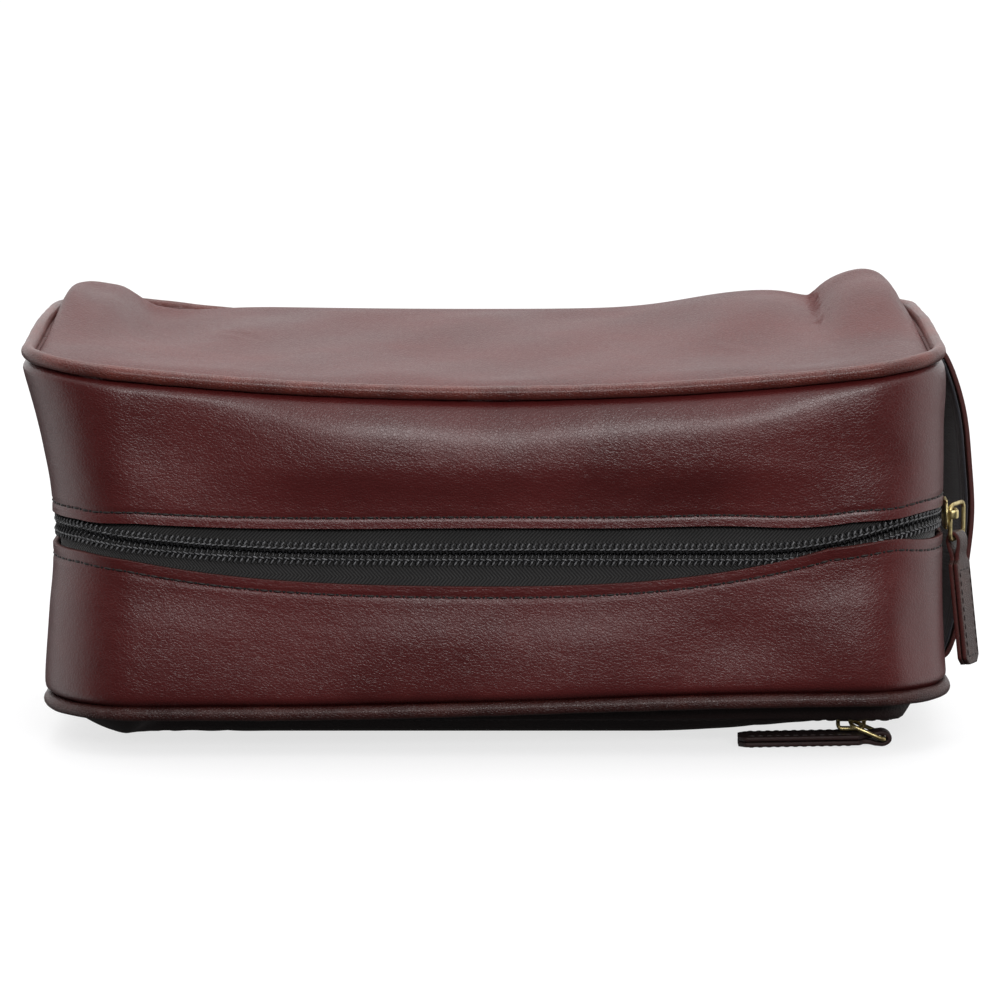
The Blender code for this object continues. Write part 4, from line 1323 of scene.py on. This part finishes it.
def strap_points(path: Array, thick: Array | float, wide: Array | float, sides: int = 20, power: float = 0.4,
                 closed: bool = False) -> Array:
    """A soft-edged strap along a flat path: p + n thick cos^power a + v wide sin^power a.

    Args:
        path: (rows, 2), the path's u and w.
        thick, wide: half its thickness in the path's plane and half its width along v, one or one per row.
        sides: points round it.
        power: 1 for an ellipse, and less for a squarer section.
        closed: whether the path joins up.

    Returns:
        (rows, sides, 3) in u, v, w.
    """
    step = np.roll(path, -1, axis=0) - np.roll(path, 1, axis=0) if closed else np.gradient(path, axis=0)
    tangent = unit(step)
    normal = np.column_stack((-tangent[:, 1], tangent[:, 0]))
    a = np.linspace(0, 2 * math.pi, sides, endpoint=False) + math.pi / sides
    thick = np.broadcast_to(np.asarray(thick, float), (len(path),))[:, None]
    wide = np.broadcast_to(np.asarray(wide, float), (len(path),))[:, None]
    off = thick * signed_power(np.cos(a), power)[None]
    v = wide * signed_power(np.sin(a), power)[None]
    u, w = (path[:, None, k] + normal[:, None, k] * off for k in (0, 1))
    return np.stack((u, v + 0 * off, w), axis=-1)


def strap(name: str, frame: Frame, points: Array, looks: Sequence[bpy.types.Material],
          closed: bool = False) -> bpy.types.Object:
    """A strap's points as an object, capped where it is open; a second finish goes on the faces that look along v."""
    rows, cols = points.shape[:2]
    path = points.mean(axis=1)
    steps = np.linalg.norm(np.diff(path, axis=0, append=path[:1]), axis=1)
    along = np.concatenate(([0.0], np.cumsum(steps)))[: rows + closed]
    girth = np.linspace(0, float(np.ptp(points[:, :, 1])) * 2.3, cols + 1)
    obj = face_out(surface(name, frame.place(points), looks, along, girth, (closed, True), not closed))
    if len(looks) > 1:
        normals = np.empty(len(obj.data.polygons) * 3, np.float32)
        obj.data.polygons.foreach_get("normal", normals)
        side = np.abs(normals.reshape(-1, 3) @ np.asarray(frame.v, np.float32)) > 0.75
        obj.data.polygons.foreach_set("material_index", side.astype(np.int32))
    return obj


def rounded_corner_path(corners: Sequence[tuple[float, float]], radii: Sequence[float], steps: int = 7) -> Array:
    """An open path through corners, each rounded by a quadratic curve that starts and ends this far from it."""
    pts = [np.asarray(corners[0], float)[None]]
    for before, at, after, r in zip(corners, corners[1:], corners[2:], radii):
        p0, p1, p2 = (np.asarray(p, float) for p in (before, at, after))
        a, b = p1 + unit(p0 - p1) * r, p1 + unit(p2 - p1) * r
        t = np.linspace(0, 1, steps)[:, None]
        pts.append((1 - t) ** 2 * a + 2 * t * (1 - t) * p1 + t**2 * b)
    pts.append(np.asarray(corners[-1], float)[None])
    return np.concatenate(pts)


def rounded_block(name: str, low: Sequence[float], high: Sequence[float], looks: Sequence[bpy.types.Material],
                  power: float = 0.35) -> bpy.types.Object:
    """A block with soft edges: centre + half (cos^p b cos^p a, cos^p b sin^p a, sin^p b)."""
    low, high = np.asarray(low, float), np.asarray(high, float)
    b = np.linspace(-math.pi / 2, math.pi / 2, 15)[1:-1, None]
    a = np.linspace(0, 2 * math.pi, 24, endpoint=False)[None] + math.pi / 24
    flat = signed_power(np.cos(b), power)
    local = np.stack((flat * signed_power(np.cos(a), power), flat * signed_power(np.sin(a), power),
                      signed_power(np.sin(b), power) + 0 * a), axis=-1)
    points = (low + high) / 2 + local * (high - low) / 2
    return face_out(surface(name, points, looks, np.arange(13), np.arange(25), (False, True), True))


@dataclass
class Slider:
    """A zip slider: two domed plates, a post, side lips, and a bail over the top plate."""

    looks: Finishes
    name: str
    part: Part
    frame: Frame
    half: float = 5.5
    wide: float = 4.6
    channel: float = 2.0
    plate: float = 0.9
    tunnel: float = 2.1
    bail_thick: float = 1.1
    bail_wide: float = 2.4
    span: float = 4.2
    lip: float = 3.78

    def plate_points(self, side: int) -> Array:
        """A plate: rings of its outline, rounded at the rim and domed in the middle.

        The outline is (5.5 cos^0.62 t, W sin^0.8 t), with W wider at the open end.
        """
        t = np.linspace(0, 2 * math.pi, 48, endpoint=False)
        u = self.half * signed_power(np.cos(t), 0.62)
        wide = self.wide * (0.80 + 0.20 * ease(-5.5, 3.5, u))
        v = wide * signed_power(np.sin(t), 0.80)
        profile = np.array(((0.93, 0.0), (0.985, 0.12), (1.0, 0.4), (0.985, 0.66), (0.93, 0.82), (0.8, 0.88),
                            (0.5, 0.9), (0.2, 0.9)))
        grow = profile[:, 0][:, None]
        w = side * (self.channel + profile[:, 1][:, None] + 0 * u[None])
        return np.stack((grow * u[None], grow * v[None], w), axis=-1)

    def body(self) -> bpy.types.Object:
        """Both plates, the post between them at the open end, and the lips along their sides."""
        top = self.channel + self.plate
        post = strap_points(np.column_stack((np.full(6, 3.7), np.linspace(-top + 0.3, top - 0.3, 6))), 1.1, 0.29, 12,
                            0.6)
        grids = [("plate", self.plate_points(side)) for side in (1, -1)]
        for side in (1, -1):
            path = np.array(((-4.2, 2.5), (-3.6, 2.4), (-2.0, 2.35), (0.5, 2.35), (1.9, 2.4), (2.5, 2.5)))
            lip = strap_points(path, (0.2, 0.38, 0.45, 0.45, 0.38, 0.2), 0.37, 12, 0.55)
            lip[..., 1] += side * self.lip
            grids.append(("lip", lip))
        shells = []
        for name, grid in (*grids, ("post", post)):
            rows, cols = grid.shape[:2]
            shells.append(surface(name, self.frame.place(grid), (self.looks.brass,), np.arange(rows),
                                  np.arange(cols + 1), (False, True), True))
        return merge(self.name + "_casting", shells)

    def bail(self) -> bpy.types.Object:
        """A strap of brass bent over the top plate, with feet that spread on it."""
        top = self.channel + self.plate
        crown = top + self.tunnel + self.bail_thick / 2
        reach = self.span - self.bail_thick / 2
        foot_w = top + 0.28
        path = rounded_corner_path(((-reach, foot_w), (-reach, crown), (reach, crown), (reach, foot_w)), (1.3, 1.3))
        foot = 1 + 0.18 * np.exp(-((path[:, 1] - top) / 0.9) ** 2)
        points = strap_points(path, self.bail_thick / 2, self.bail_wide / 2 * foot, 18, 0.5)
        return strap(self.name + "_bridge", self.frame, points, (self.looks.brass,))

    def build(self) -> None:
        """Builds the body and the bail."""
        body, bail = self.body(), self.bail()
        rides(body, self.part, "antique_brass", self.name + "_body")
        rides(bail, self.part, "antique_brass", self.name + "_bail")
        log.info("made %s and %s", body.name, bail.name)


def merge(name: str, shells: Sequence[bpy.types.Object]) -> bpy.types.Object:
    """Joins closed shells into one object with their faces out, and removes the pieces."""
    bm = bmesh.new()
    for shell in shells:
        bm.from_mesh(shell.data)
    bmesh.ops.recalc_face_normals(bm, faces=bm.faces[:])
    mesh = bpy.data.meshes.new(name)
    bm.to_mesh(mesh)
    bm.free()
    for look in shells[0].data.materials:
        mesh.materials.append(look)
    mesh.shade_smooth()
    for shell in shells:
        bpy.data.objects.remove(shell)
    obj = bpy.data.objects.new(name, mesh)
    bpy.context.scene.collection.objects.link(obj)
    return obj


@dataclass
class PullRing:
    """A wire loop with round corners, whose ends meet in a fine seam."""

    looks: Finishes
    name: str
    node: str
    part: Part
    frame: Frame
    half_wide: float = 4.9
    half_tall: float = 5.0
    corner: float = 1.8
    wire: float = 0.6

    def build(self) -> None:
        """Builds the loop in its frame's u and w: straight sides joined by quarter circles."""
        arcs = []
        for cu, cw, start in ((1, 1, 0), (-1, 1, 90), (-1, -1, 180), (1, -1, 270)):
            a = np.radians(start + np.linspace(0, 90, 9))
            arcs.append(np.column_stack((cu * (self.half_wide - self.corner) + self.corner * np.cos(a),
                                         cw * (self.half_tall - self.corner) + self.corner * np.sin(a))))
        path = np.concatenate(arcs)
        wire = np.full(len(path), self.wire)
        points = strap_points(path, wire, wire, 12, 1.0, True)
        obj = strap(self.name, self.frame, points, (self.looks.brass,), True)
        rides(obj, self.part, "antique_brass", self.node)
        log.info("made %s", obj.name)


@dataclass
class PullTab:
    """A strip of leather folded over a ring's bar and sewn to itself.

    Its frame has u out of its face, v across it and w down it, from the bar's middle.
    """

    looks: Finishes
    name: str
    node: str
    part: Part
    frame: Frame
    length: float
    faces: tuple[bpy.types.Material, bpy.types.Material]
    half_wide: float = 4.75
    neck: float = 2.9
    ply: float = 0.76
    loop: float = 1.7
    shoulder: float = 6.3
    chamfer: float = 1.9

    def outline(self) -> tuple[Array, Array, Array]:
        """The fold's path and half widths: down one ply, round the bar, and down the other.

        Returns:
            The path's (u, w), half its thickness and half its width, per row.
        """
        down = np.concatenate((np.linspace(self.length, self.length - 3, 7), np.linspace(self.length - 4, 9, 15),
                               np.linspace(8, 2.4, 12)))
        closing = ease(0.8, 5.0, down)
        side = self.loop + (0.8 - self.loop) * closing
        a = np.linspace(0, math.pi, 15)[1:-1]
        round_it = np.column_stack((self.loop * np.cos(a), 1.2 - (self.loop + 1.2) * np.sin(a) ** 0.9))
        path = np.concatenate((np.column_stack((side, down)), round_it, np.column_stack((-side[::-1], down[::-1]))))
        level = path[:, 1]
        chamfer = self.chamfer * np.clip(1 - (self.length - level) / self.chamfer, 0, 1)
        broad = ease(self.shoulder - 0.8, self.shoulder + 1.0, level)
        wide = self.neck + (self.half_wide - self.neck) * broad - chamfer
        thick = self.ply - 0.11 * (1 - ease(1.0, 5.0, level))
        return path, thick, wide

    def stitches(self) -> bpy.types.Object:
        """Stitches down both edges and across the top and bottom of both faces."""
        margin, pitch = 1.25, 2.5
        v, top, low = self.half_wide - margin, self.shoulder + 2.6, self.length - 2.4
        run = stitch_runs((((v, top), (v, low)), ((-v, top), (-v, low)), ((-v, top), (v, top)),
                           ((-v, low), (v, low))), pitch)
        centres, along, out = [], [], []
        turn = np.array((self.frame.u, self.frame.v, self.frame.w), float)
        for face in (1, -1):
            level = np.full(len(run), face * (0.8 + self.ply + 0.02))
            centres.append(self.frame.place(np.column_stack((level, run[:, 0], run[:, 1]))))
            along.append(unit(np.column_stack((np.zeros(len(run)), run[:, 2:])) @ turn))
            out.append(np.tile(face * turn[0], (len(run), 1)))
        centres, along, out = np.concatenate(centres), np.concatenate(along), np.concatenate(out)
        return scatter(self.name + "_stitches", stitch_shape(1.9, 0.2), centres, (along, np.cross(out, along), out),
                       (self.looks.thread,))

    def build(self) -> None:
        """Builds the folded strip and its stitches."""
        path, thick, wide = self.outline()
        local = strap_points(path, thick, wide, 24, 0.32)
        obj = strap(self.name, self.frame, local, self.faces)
        rides(obj, self.part, "leather", self.node)
        sewn = self.stitches()
        rides(sewn, self.part, "leather")
        log.info("made %s and its stitches", obj.name)


@dataclass
class Pulls:
    """Both sliders with their rings and leather pulls, where the frame has them."""

    looks: Finishes
    main_centre: tuple[float, float, float] = (127.0, -41.0, 64.6)
    pocket_centre: tuple[float, float, float] = (102.5, -53.0, 10.4)
    tunnel: float = 3.95
    hang: float = 2.9
    ring_half: float = 5.0
    ring_reach: float = 4.9
    swing: float = 62.0
    lean: float = 7.0
    main_length: float = 36.0
    pocket_length: float = 41.0
    tip_height: float = 2.4
    rest_height: float = 1.65

    def main(self) -> None:
        """The main slider on the right end; its ring hangs in the bail and the pull hangs from the ring."""
        Slider(self.looks, "main_slider", Part.MAIN_SLIDER,
               Frame(self.main_centre, (0, 1, 0), (0, 0, 1), (1, 0, 0))).build()
        a, tip = math.radians(self.swing), math.radians(self.lean)
        across = np.array((math.cos(a), math.sin(a), 0.0))
        middle = np.array(self.main_centre) + (self.tunnel, 0, -self.hang) + across * self.ring_reach
        side = np.cross(across, (0, 0, 1))
        PullRing(self.looks, "main_ring_wire", "main_pull_ring", Part.MAIN_RING,
                 Frame(tuple(middle), tuple(across), tuple(side), (0, 0, 1))).build()
        outward = np.array((math.sin(a), -math.cos(a), 0.0))
        down = np.array((0, 0, -1.0)) * math.cos(tip) + outward * math.sin(tip)
        bar = middle - (0, 0, self.ring_half)
        PullTab(self.looks, "main_pull_leather", "main_pull_tab", Part.MAIN_PULL,
                Frame(tuple(bar), tuple(np.cross(across, down)), tuple(across), tuple(down)), self.main_length,
                (self.looks.strap, self.looks.edge)).build()

    def pocket(self) -> None:
        """The pocket's slider under the back panel; its ring slants down and its pull lies on the surface."""
        Slider(self.looks, "pocket_slider", Part.POCKET_SLIDER,
               Frame(self.pocket_centre, (1, 0, 0), (0, -1, 0), (0, 0, -1))).build()
        start = np.array(self.pocket_centre) - (0, 0, self.tunnel)
        tip = math.asin((start[2] - self.tip_height) / (2 * self.ring_half))
        reach = np.array((math.cos(tip), 0, -math.sin(tip)))
        middle = start + reach * self.ring_half
        PullRing(self.looks, "pocket_ring_wire", "pocket_pull_ring", Part.POCKET_RING,
                 Frame(tuple(middle), (0, 1, 0), tuple(np.cross(reach, (0, 1, 0))), tuple(reach))).build()
        bar = middle + reach * self.ring_half
        drop = math.asin((bar[2] - self.rest_height) / self.pocket_length)
        down = np.array((-math.cos(drop), 0, -math.sin(drop)))
        # The pocket pull takes the near-black copies of the hide and its cut edge: painted shade under the bag.
        PullTab(self.looks, "pocket_pull_leather", "pocket_pull_tab", Part.POCKET_PULL,
                Frame(tuple(bar), tuple(np.cross((0, 1, 0), down)), (0, 1, 0), tuple(down)), self.pocket_length,
                (self.looks.painted_shade_hide, self.looks.painted_shade_edge), loop=1.66).build()

    def build(self) -> None:
        """Builds both."""
        self.main()
        self.pocket()


# ---------------------------------------------------------------- handle, lining and pouch


@dataclass
class Handle:
    """The carrying handle on the right end: a leather strap lined with ribbed webbing, bowed off the wall."""

    looks: Finishes
    y_range: tuple[float, float] = (-10.0, 17.0)
    z_range: tuple[float, float] = (17.8, 107.6)
    bow: float = 9.0
    twist: float = 5.6
    leather_off: float = 2.1
    leather_half: float = 0.8
    row_inset: float = 2.6
    row_end: float = 6.0
    pitch: float = 3.6

    def path(self, off: float) -> Array:
        """(x, z) of a layer this far off the wall's face: root + bow sin(pi share) ** 0.6."""
        share = (1 - np.cos(np.linspace(0, math.pi, 61))) / 2
        z = self.z_range[0] + (self.z_range[1] - self.z_range[0]) * share
        s = np.full_like(z, FORM.at_end(0.0))
        root = FORM.wall(s, z, 1.4)[:, 0]
        lift = self.bow * np.sin(math.pi * share) ** 0.6
        ripple = 0.25 * np.sin(share * 17) * np.sin(math.pi * share)
        return np.column_stack((root + lift + off + ripple, z))

    def turn(self, path: Array) -> Array:
        """How much nearer the wall the rear edge hangs than the front edge, along the strap."""
        share = np.clip((path[:, 1] - self.z_range[0]) / (self.z_range[1] - self.z_range[0]), 0, 1)
        return self.twist * np.sin(math.pi * share) ** 0.6

    def layer(self, name: str, off: float, half: float, wide: float, looks: Sequence[bpy.types.Material],
              power: float) -> bpy.types.Object:
        """One layer as a closed strap."""
        path = self.path(off)
        middle = (self.y_range[0] + self.y_range[1]) / 2
        frame = Frame((0, middle, 0), (1, 0, 0), (0, 1, 0), (0, 0, 1))
        points = strap_points(path, half, wide, 36, power)
        points[..., 0] -= self.turn(path)[:, None] * (points[..., 1] + wide) / (2 * wide)
        return strap(name, frame, points, looks)

    def stitches(self) -> bpy.types.Object:
        """A row of stitches inside each edge of the leather."""
        path = self.path(self.leather_off + self.leather_half)
        length = np.concatenate(([0.0], np.cumsum(np.linalg.norm(np.diff(path, axis=0), axis=1))))
        sewn = length[-1] - 2 * self.row_end
        count = int(sewn / self.pitch)
        at = self.row_end + (np.arange(count) + 0.5) * sewn / count
        x, z, dx, dz = (np.interp(at, length, v) for v in (path[:, 0], path[:, 1], np.gradient(path[:, 0]),
                                                           np.gradient(path[:, 1])))
        along = unit(np.column_stack((dx, 0 * dx, dz)))
        out = np.column_stack((along[:, 2], 0 * dx, -along[:, 0]))
        low, high = self.y_range
        turn = self.turn(np.column_stack((x, z)))
        rows = [np.column_stack((x - turn * (y - low) / (high - low), np.full(count, y), z))
                for y in (low + self.row_inset, high - self.row_inset)]
        return scatter("handle_stitches", stitch_shape(2.8, 0.27), np.concatenate(rows),
                       tuple(np.concatenate((v, v)) for v in (along, np.cross(out, along), out)),
                       (self.looks.thread,))

    def build(self) -> None:
        """Builds both layers and the stitches."""
        half = (self.y_range[1] - self.y_range[0]) / 2
        webbing = self.layer("handle_ribbed_webbing", 0.5, 0.5, half - 0.4, (self.looks.webbing,), 0.25)
        rides(webbing, Part.BAG, "zip_tape", "handle_webbing")
        leather = self.layer("handle_leather", self.leather_off, self.leather_half, half,
                             (self.looks.strap, self.looks.edge), 0.22)
        rides(leather, Part.BAG, "leather", "handle_strap")
        sewn = self.stitches()
        rides(sewn, Part.BAG, "leather")
        for obj in (webbing, leather, sewn):
            log.info("made %s", obj.name)


@dataclass
class Lining:
    """The cloth lining: slack sheets inside the leather, sewn in at the same seams."""

    looks: Finishes
    panels: Panels
    cloth: float = 0.5
    inside: float = 2.35
    split_y: float = -20.0

    def band(self, name: str, s: Array, low: Array, high: Array) -> bpy.types.Object:
        """A sheet inside the wall between two heights, with slow slack waves."""
        t = np.linspace(0, 1, 16)
        z = low[:, None] + (high - low)[:, None] * t[None]
        s2 = np.broadcast_to(s[:, None], z.shape)
        slack = 0.35 * np.sin(s2 / 8 + z / 19) * np.sin(math.pi * t)[None] + 0.35 * np.sin(math.pi * t)[None]
        points = FORM.wall(s2, z, -self.inside - slack)
        obj = surface(name, points, (self.looks.lining,), s, t * float(np.mean(high - low)))
        thicken(obj, self.cloth)
        return obj

    def sheet(self, name: str, front: bool) -> bpy.types.Object:
        """A sheet inside the front or the back panel."""
        s = loop_stations(30, 8, 10)
        px, py, deep = self.panels.fan(s, 1.0 if front else 0.0, 3.6, (0.0, 1.5, 4, 8, 14, 22, 32, 44))
        slack = 0.4 * np.sin(px / 11 + py / 17) * np.minimum(1, deep / 12)
        if front:
            z = self.panels.front_height(px, py, deep + 1.3) - 2.9 - 0.9 * np.minimum(1, deep / 8) + slack
        else:
            z = 22.6 + slack - 3.0 * np.exp(-deep / 2.5)
        obj = surface(name, np.stack((px, py, z), axis=-1), (self.looks.lining,), np.append(s, FORM.half_loop),
                      np.arange(px.shape[1]), (True, False), flip=not front)
        Panels.weld(obj)
        thicken(obj, self.cloth)
        return obj

    def build(self) -> None:
        """Builds the five sheets."""
        f = FORM
        end = f.at_end(self.split_y)
        front = run_stations(-end + 0.5, end - 0.5, 6.0)
        x, y, _, _ = f.station(front)
        upper = self.band("lining_upper_band_cloth", front, f.upper_edge(x) + 6.6, f.top_seam(x, y) - 5.0)
        bends(upper, "lining", "lining_mouth_band")
        lower = self.band("lining_lower_band_cloth", front, f.base_seam(x, y) + 12, f.lower_edge(x) - 6.6)
        rides(lower, Part.BAG, "lining", "lining_lower_band")
        span = run_stations(end + 0.3, 2 * f.half_loop - end - 0.3, 6.0)
        rear = np.where(span > f.half_loop, span - 2 * f.half_loop, span)
        x, y, _, _ = f.station(rear)
        back = self.band("lining_base_gusset_cloth", rear, f.base_seam(x, y) + 12, f.top_seam(x, y) - 5.0)
        rides(back, Part.BAG, "lining", "lining_base_gusset")
        roof = self.sheet("lining_front_cloth", True)
        bends(roof, "lining", "lining_front", "lining_mouth_panel")
        floor = self.sheet("lining_back_cloth", False)
        rides(floor, Part.BAG, "lining", "lining_back")
        for obj in (upper, lower, back, roof, floor):
            log.info("made %s", obj.name)


@dataclass
class Pouch:
    """The pocket's cloth pouch: one sheet folded over between the back panel and the lining, open along the zip."""

    looks: Finishes
    x_range: tuple[float, float] = (-96.0, 100.0)
    zip_y: float = -53.0
    floor: float = 11.7
    room: float = 5.4
    wall: float = 0.5

    def build(self) -> None:
        """Builds the folded sheet as a strap carried along x, with its fold at the rear."""
        x = np.linspace(self.x_range[0], self.x_range[1], 40)
        top = self.floor + self.room
        rows = []
        for at in x:
            deep = 2.9 + 5.2 * float(ease(45, 120, np.array(at)))
            corners = ((self.zip_y - 5.35, self.floor), (self.zip_y - 5.35, top - 0.25), (-30.0, top - 0.25),
                       (33.7, deep + self.room - 0.3), (33.7, deep + 0.2), (-26.0, deep + 0.2),
                       (-44.3, self.floor + 0.25), (self.zip_y + 5.6, self.floor + 0.25))
            path = rounded_corner_path(corners, (1.6, 6.0, 2.0, 2.0, 5.0, 3.0), 6)
            rows.append(path)
        mid = np.stack(rows)
        step = np.gradient(mid, axis=1)
        normal = np.stack((-step[..., 1], step[..., 0]), axis=-1)
        normal = normal / np.linalg.norm(normal, axis=-1, keepdims=True)
        wave = 0.25 * np.sin(x[:, None] / 9 + np.arange(mid.shape[1])[None] / 3)
        outer, inner = mid + normal * (self.wall / 2), mid - normal * (self.wall / 2)
        loop = np.concatenate((outer, inner[:, ::-1]), axis=1)
        lift = np.concatenate((wave, wave[:, ::-1]), axis=1) * 0.5
        points = np.concatenate((np.broadcast_to(x[:, None, None], loop.shape[:2] + (1,)), loop), axis=2)
        points = points + np.stack((0 * lift, 0 * lift, lift), axis=-1)
        obj = face_out(surface("pocket_pouch_cloth", points, (self.looks.pouch,), x, np.arange(loop.shape[1] + 1),
                               (False, True), True))
        rides(obj, Part.BAG, "lining", "pocket_bag")
        log.info("made %s", obj.name)


# ---------------------------------------------------------------- stage


@dataclass
class Studio:
    """The pale floor, the camera and the soft lights."""

    looks: Finishes
    distance: float = 1.3
    elevation: float = 8.3
    aim: tuple[float, float, float] = (0.0, 0.0, 0.06)
    lens: float = 160.0
    bright: float = 1.15
    dim: float = 0.05

    def floor(self) -> None:
        """A wide round sheet under the bag."""
        a = np.linspace(0, 2 * math.pi, 96, endpoint=False)
        r = np.array((0.0, 300, 900, 3000, 9000, 30000))
        points = np.stack((np.cos(a)[:, None] * r, np.sin(a)[:, None] * r, np.full((96, 6), -0.05)), axis=-1)
        obj = surface("studio_floor", points, (self.looks.ground,), np.arange(97), np.arange(6), (True, False),
                      flip=True)
        Panels.weld(obj)
        obj.visible_glossy = False
        obj.visible_diffuse = False

    def camera(self) -> None:
        """A long lens a little above the bag."""
        e = math.radians(self.elevation)
        aim = Vector(self.aim)
        data = bpy.data.cameras.new("studio_camera")
        data.lens, data.sensor_width, data.shift_x, data.shift_y = self.lens, 36.0, 0.012, 0.008
        data.clip_start, data.clip_end = 0.05, 60.0
        obj = bpy.data.objects.new("studio_camera", data)
        obj.location = aim + Vector((0, -math.cos(e), math.sin(e))) * self.distance
        obj.rotation_euler = (aim - obj.location).to_track_quat("-Z", "Y").to_euler()
        bpy.context.scene.collection.objects.link(obj)
        bpy.context.scene.camera = obj
        bpy.context.scene.view_settings.view_transform = "Standard"

    def soft_light(self, name: str, place: tuple[float, float, float], size: tuple[float, float],
                   power: float) -> None:
        """A rectangular area light at a place in metres, turned to the bag."""
        data = bpy.data.lights.new(name, "AREA")
        data.shape, data.size, data.size_y, data.energy = "RECTANGLE", size[0], size[1], power
        obj = bpy.data.objects.new(name, data)
        obj.location = place
        obj.rotation_euler = (Vector(self.aim) - Vector(place)).to_track_quat("-Z", "Y").to_euler()
        bpy.context.scene.collection.objects.link(obj)

    def sky(self) -> None:
        """Surroundings that are white above, beside and behind the bag, and dark below it and by the camera.

        Strength = dim + (bright - dim) max(overhead, behind) max(risen, beside), each an ease of the direction.
        """
        world = bpy.data.worlds.new("studio_world")
        bpy.context.scene.world = world
        world.use_nodes = True
        n = Tree(world.node_tree)
        split = n.node("ShaderNodeSeparateXYZ")
        n.feed(split.inputs[0], n.coords("Generated"))
        x, y, z = split.outputs
        overhead = n.span(z, 0.35, 0.75, kind="SMOOTHSTEP")
        behind = n.span(y, -0.55, 0.05, kind="SMOOTHSTEP")
        risen = n.span(z, -0.08, 0.02, kind="SMOOTHSTEP")
        beside = n.span(n.math("ABSOLUTE", x), 0.55, 0.9, kind="SMOOTHSTEP")
        lit = n.math("MULTIPLY", n.math("MAXIMUM", overhead, behind), n.math("MAXIMUM", risen, beside))
        back = n.tree.nodes["Background"]
        back.inputs["Color"].default_value = (1.0, 1.0, 1.0, 1.0)
        n.feed(back.inputs["Strength"], n.math("MULTIPLY_ADD", lit, self.bright - self.dim, self.dim))

    def build(self) -> None:
        """Builds the floor, camera, surroundings and lights."""
        self.floor()
        self.camera()
        self.sky()
        self.soft_light("key_light", (0.30, -1.3, 0.62), (0.9, 0.3), 11.5)
        self.soft_light("top_light", (0.0, 0.3, 1.6), (1.4, 0.8), 11.0)
        log.info("made the studio")


def main() -> None:
    """Builds every sub-assembly in order."""
    logging.basicConfig(level=logging.INFO, format="%(name)s: %(message)s")
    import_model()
    looks = Finishes()
    Studio(looks).build()
    panels = Panels(looks)
    panels.build()
    Walls(looks).build()
    Piping(looks).build()
    MainZip(looks).build()
    PocketZip(looks).build()
    Pulls(looks).build()
    Handle(looks).build()
    Lining(looks, panels).build()
    Pouch(looks).build()


if __name__ == "__main__":
    main()
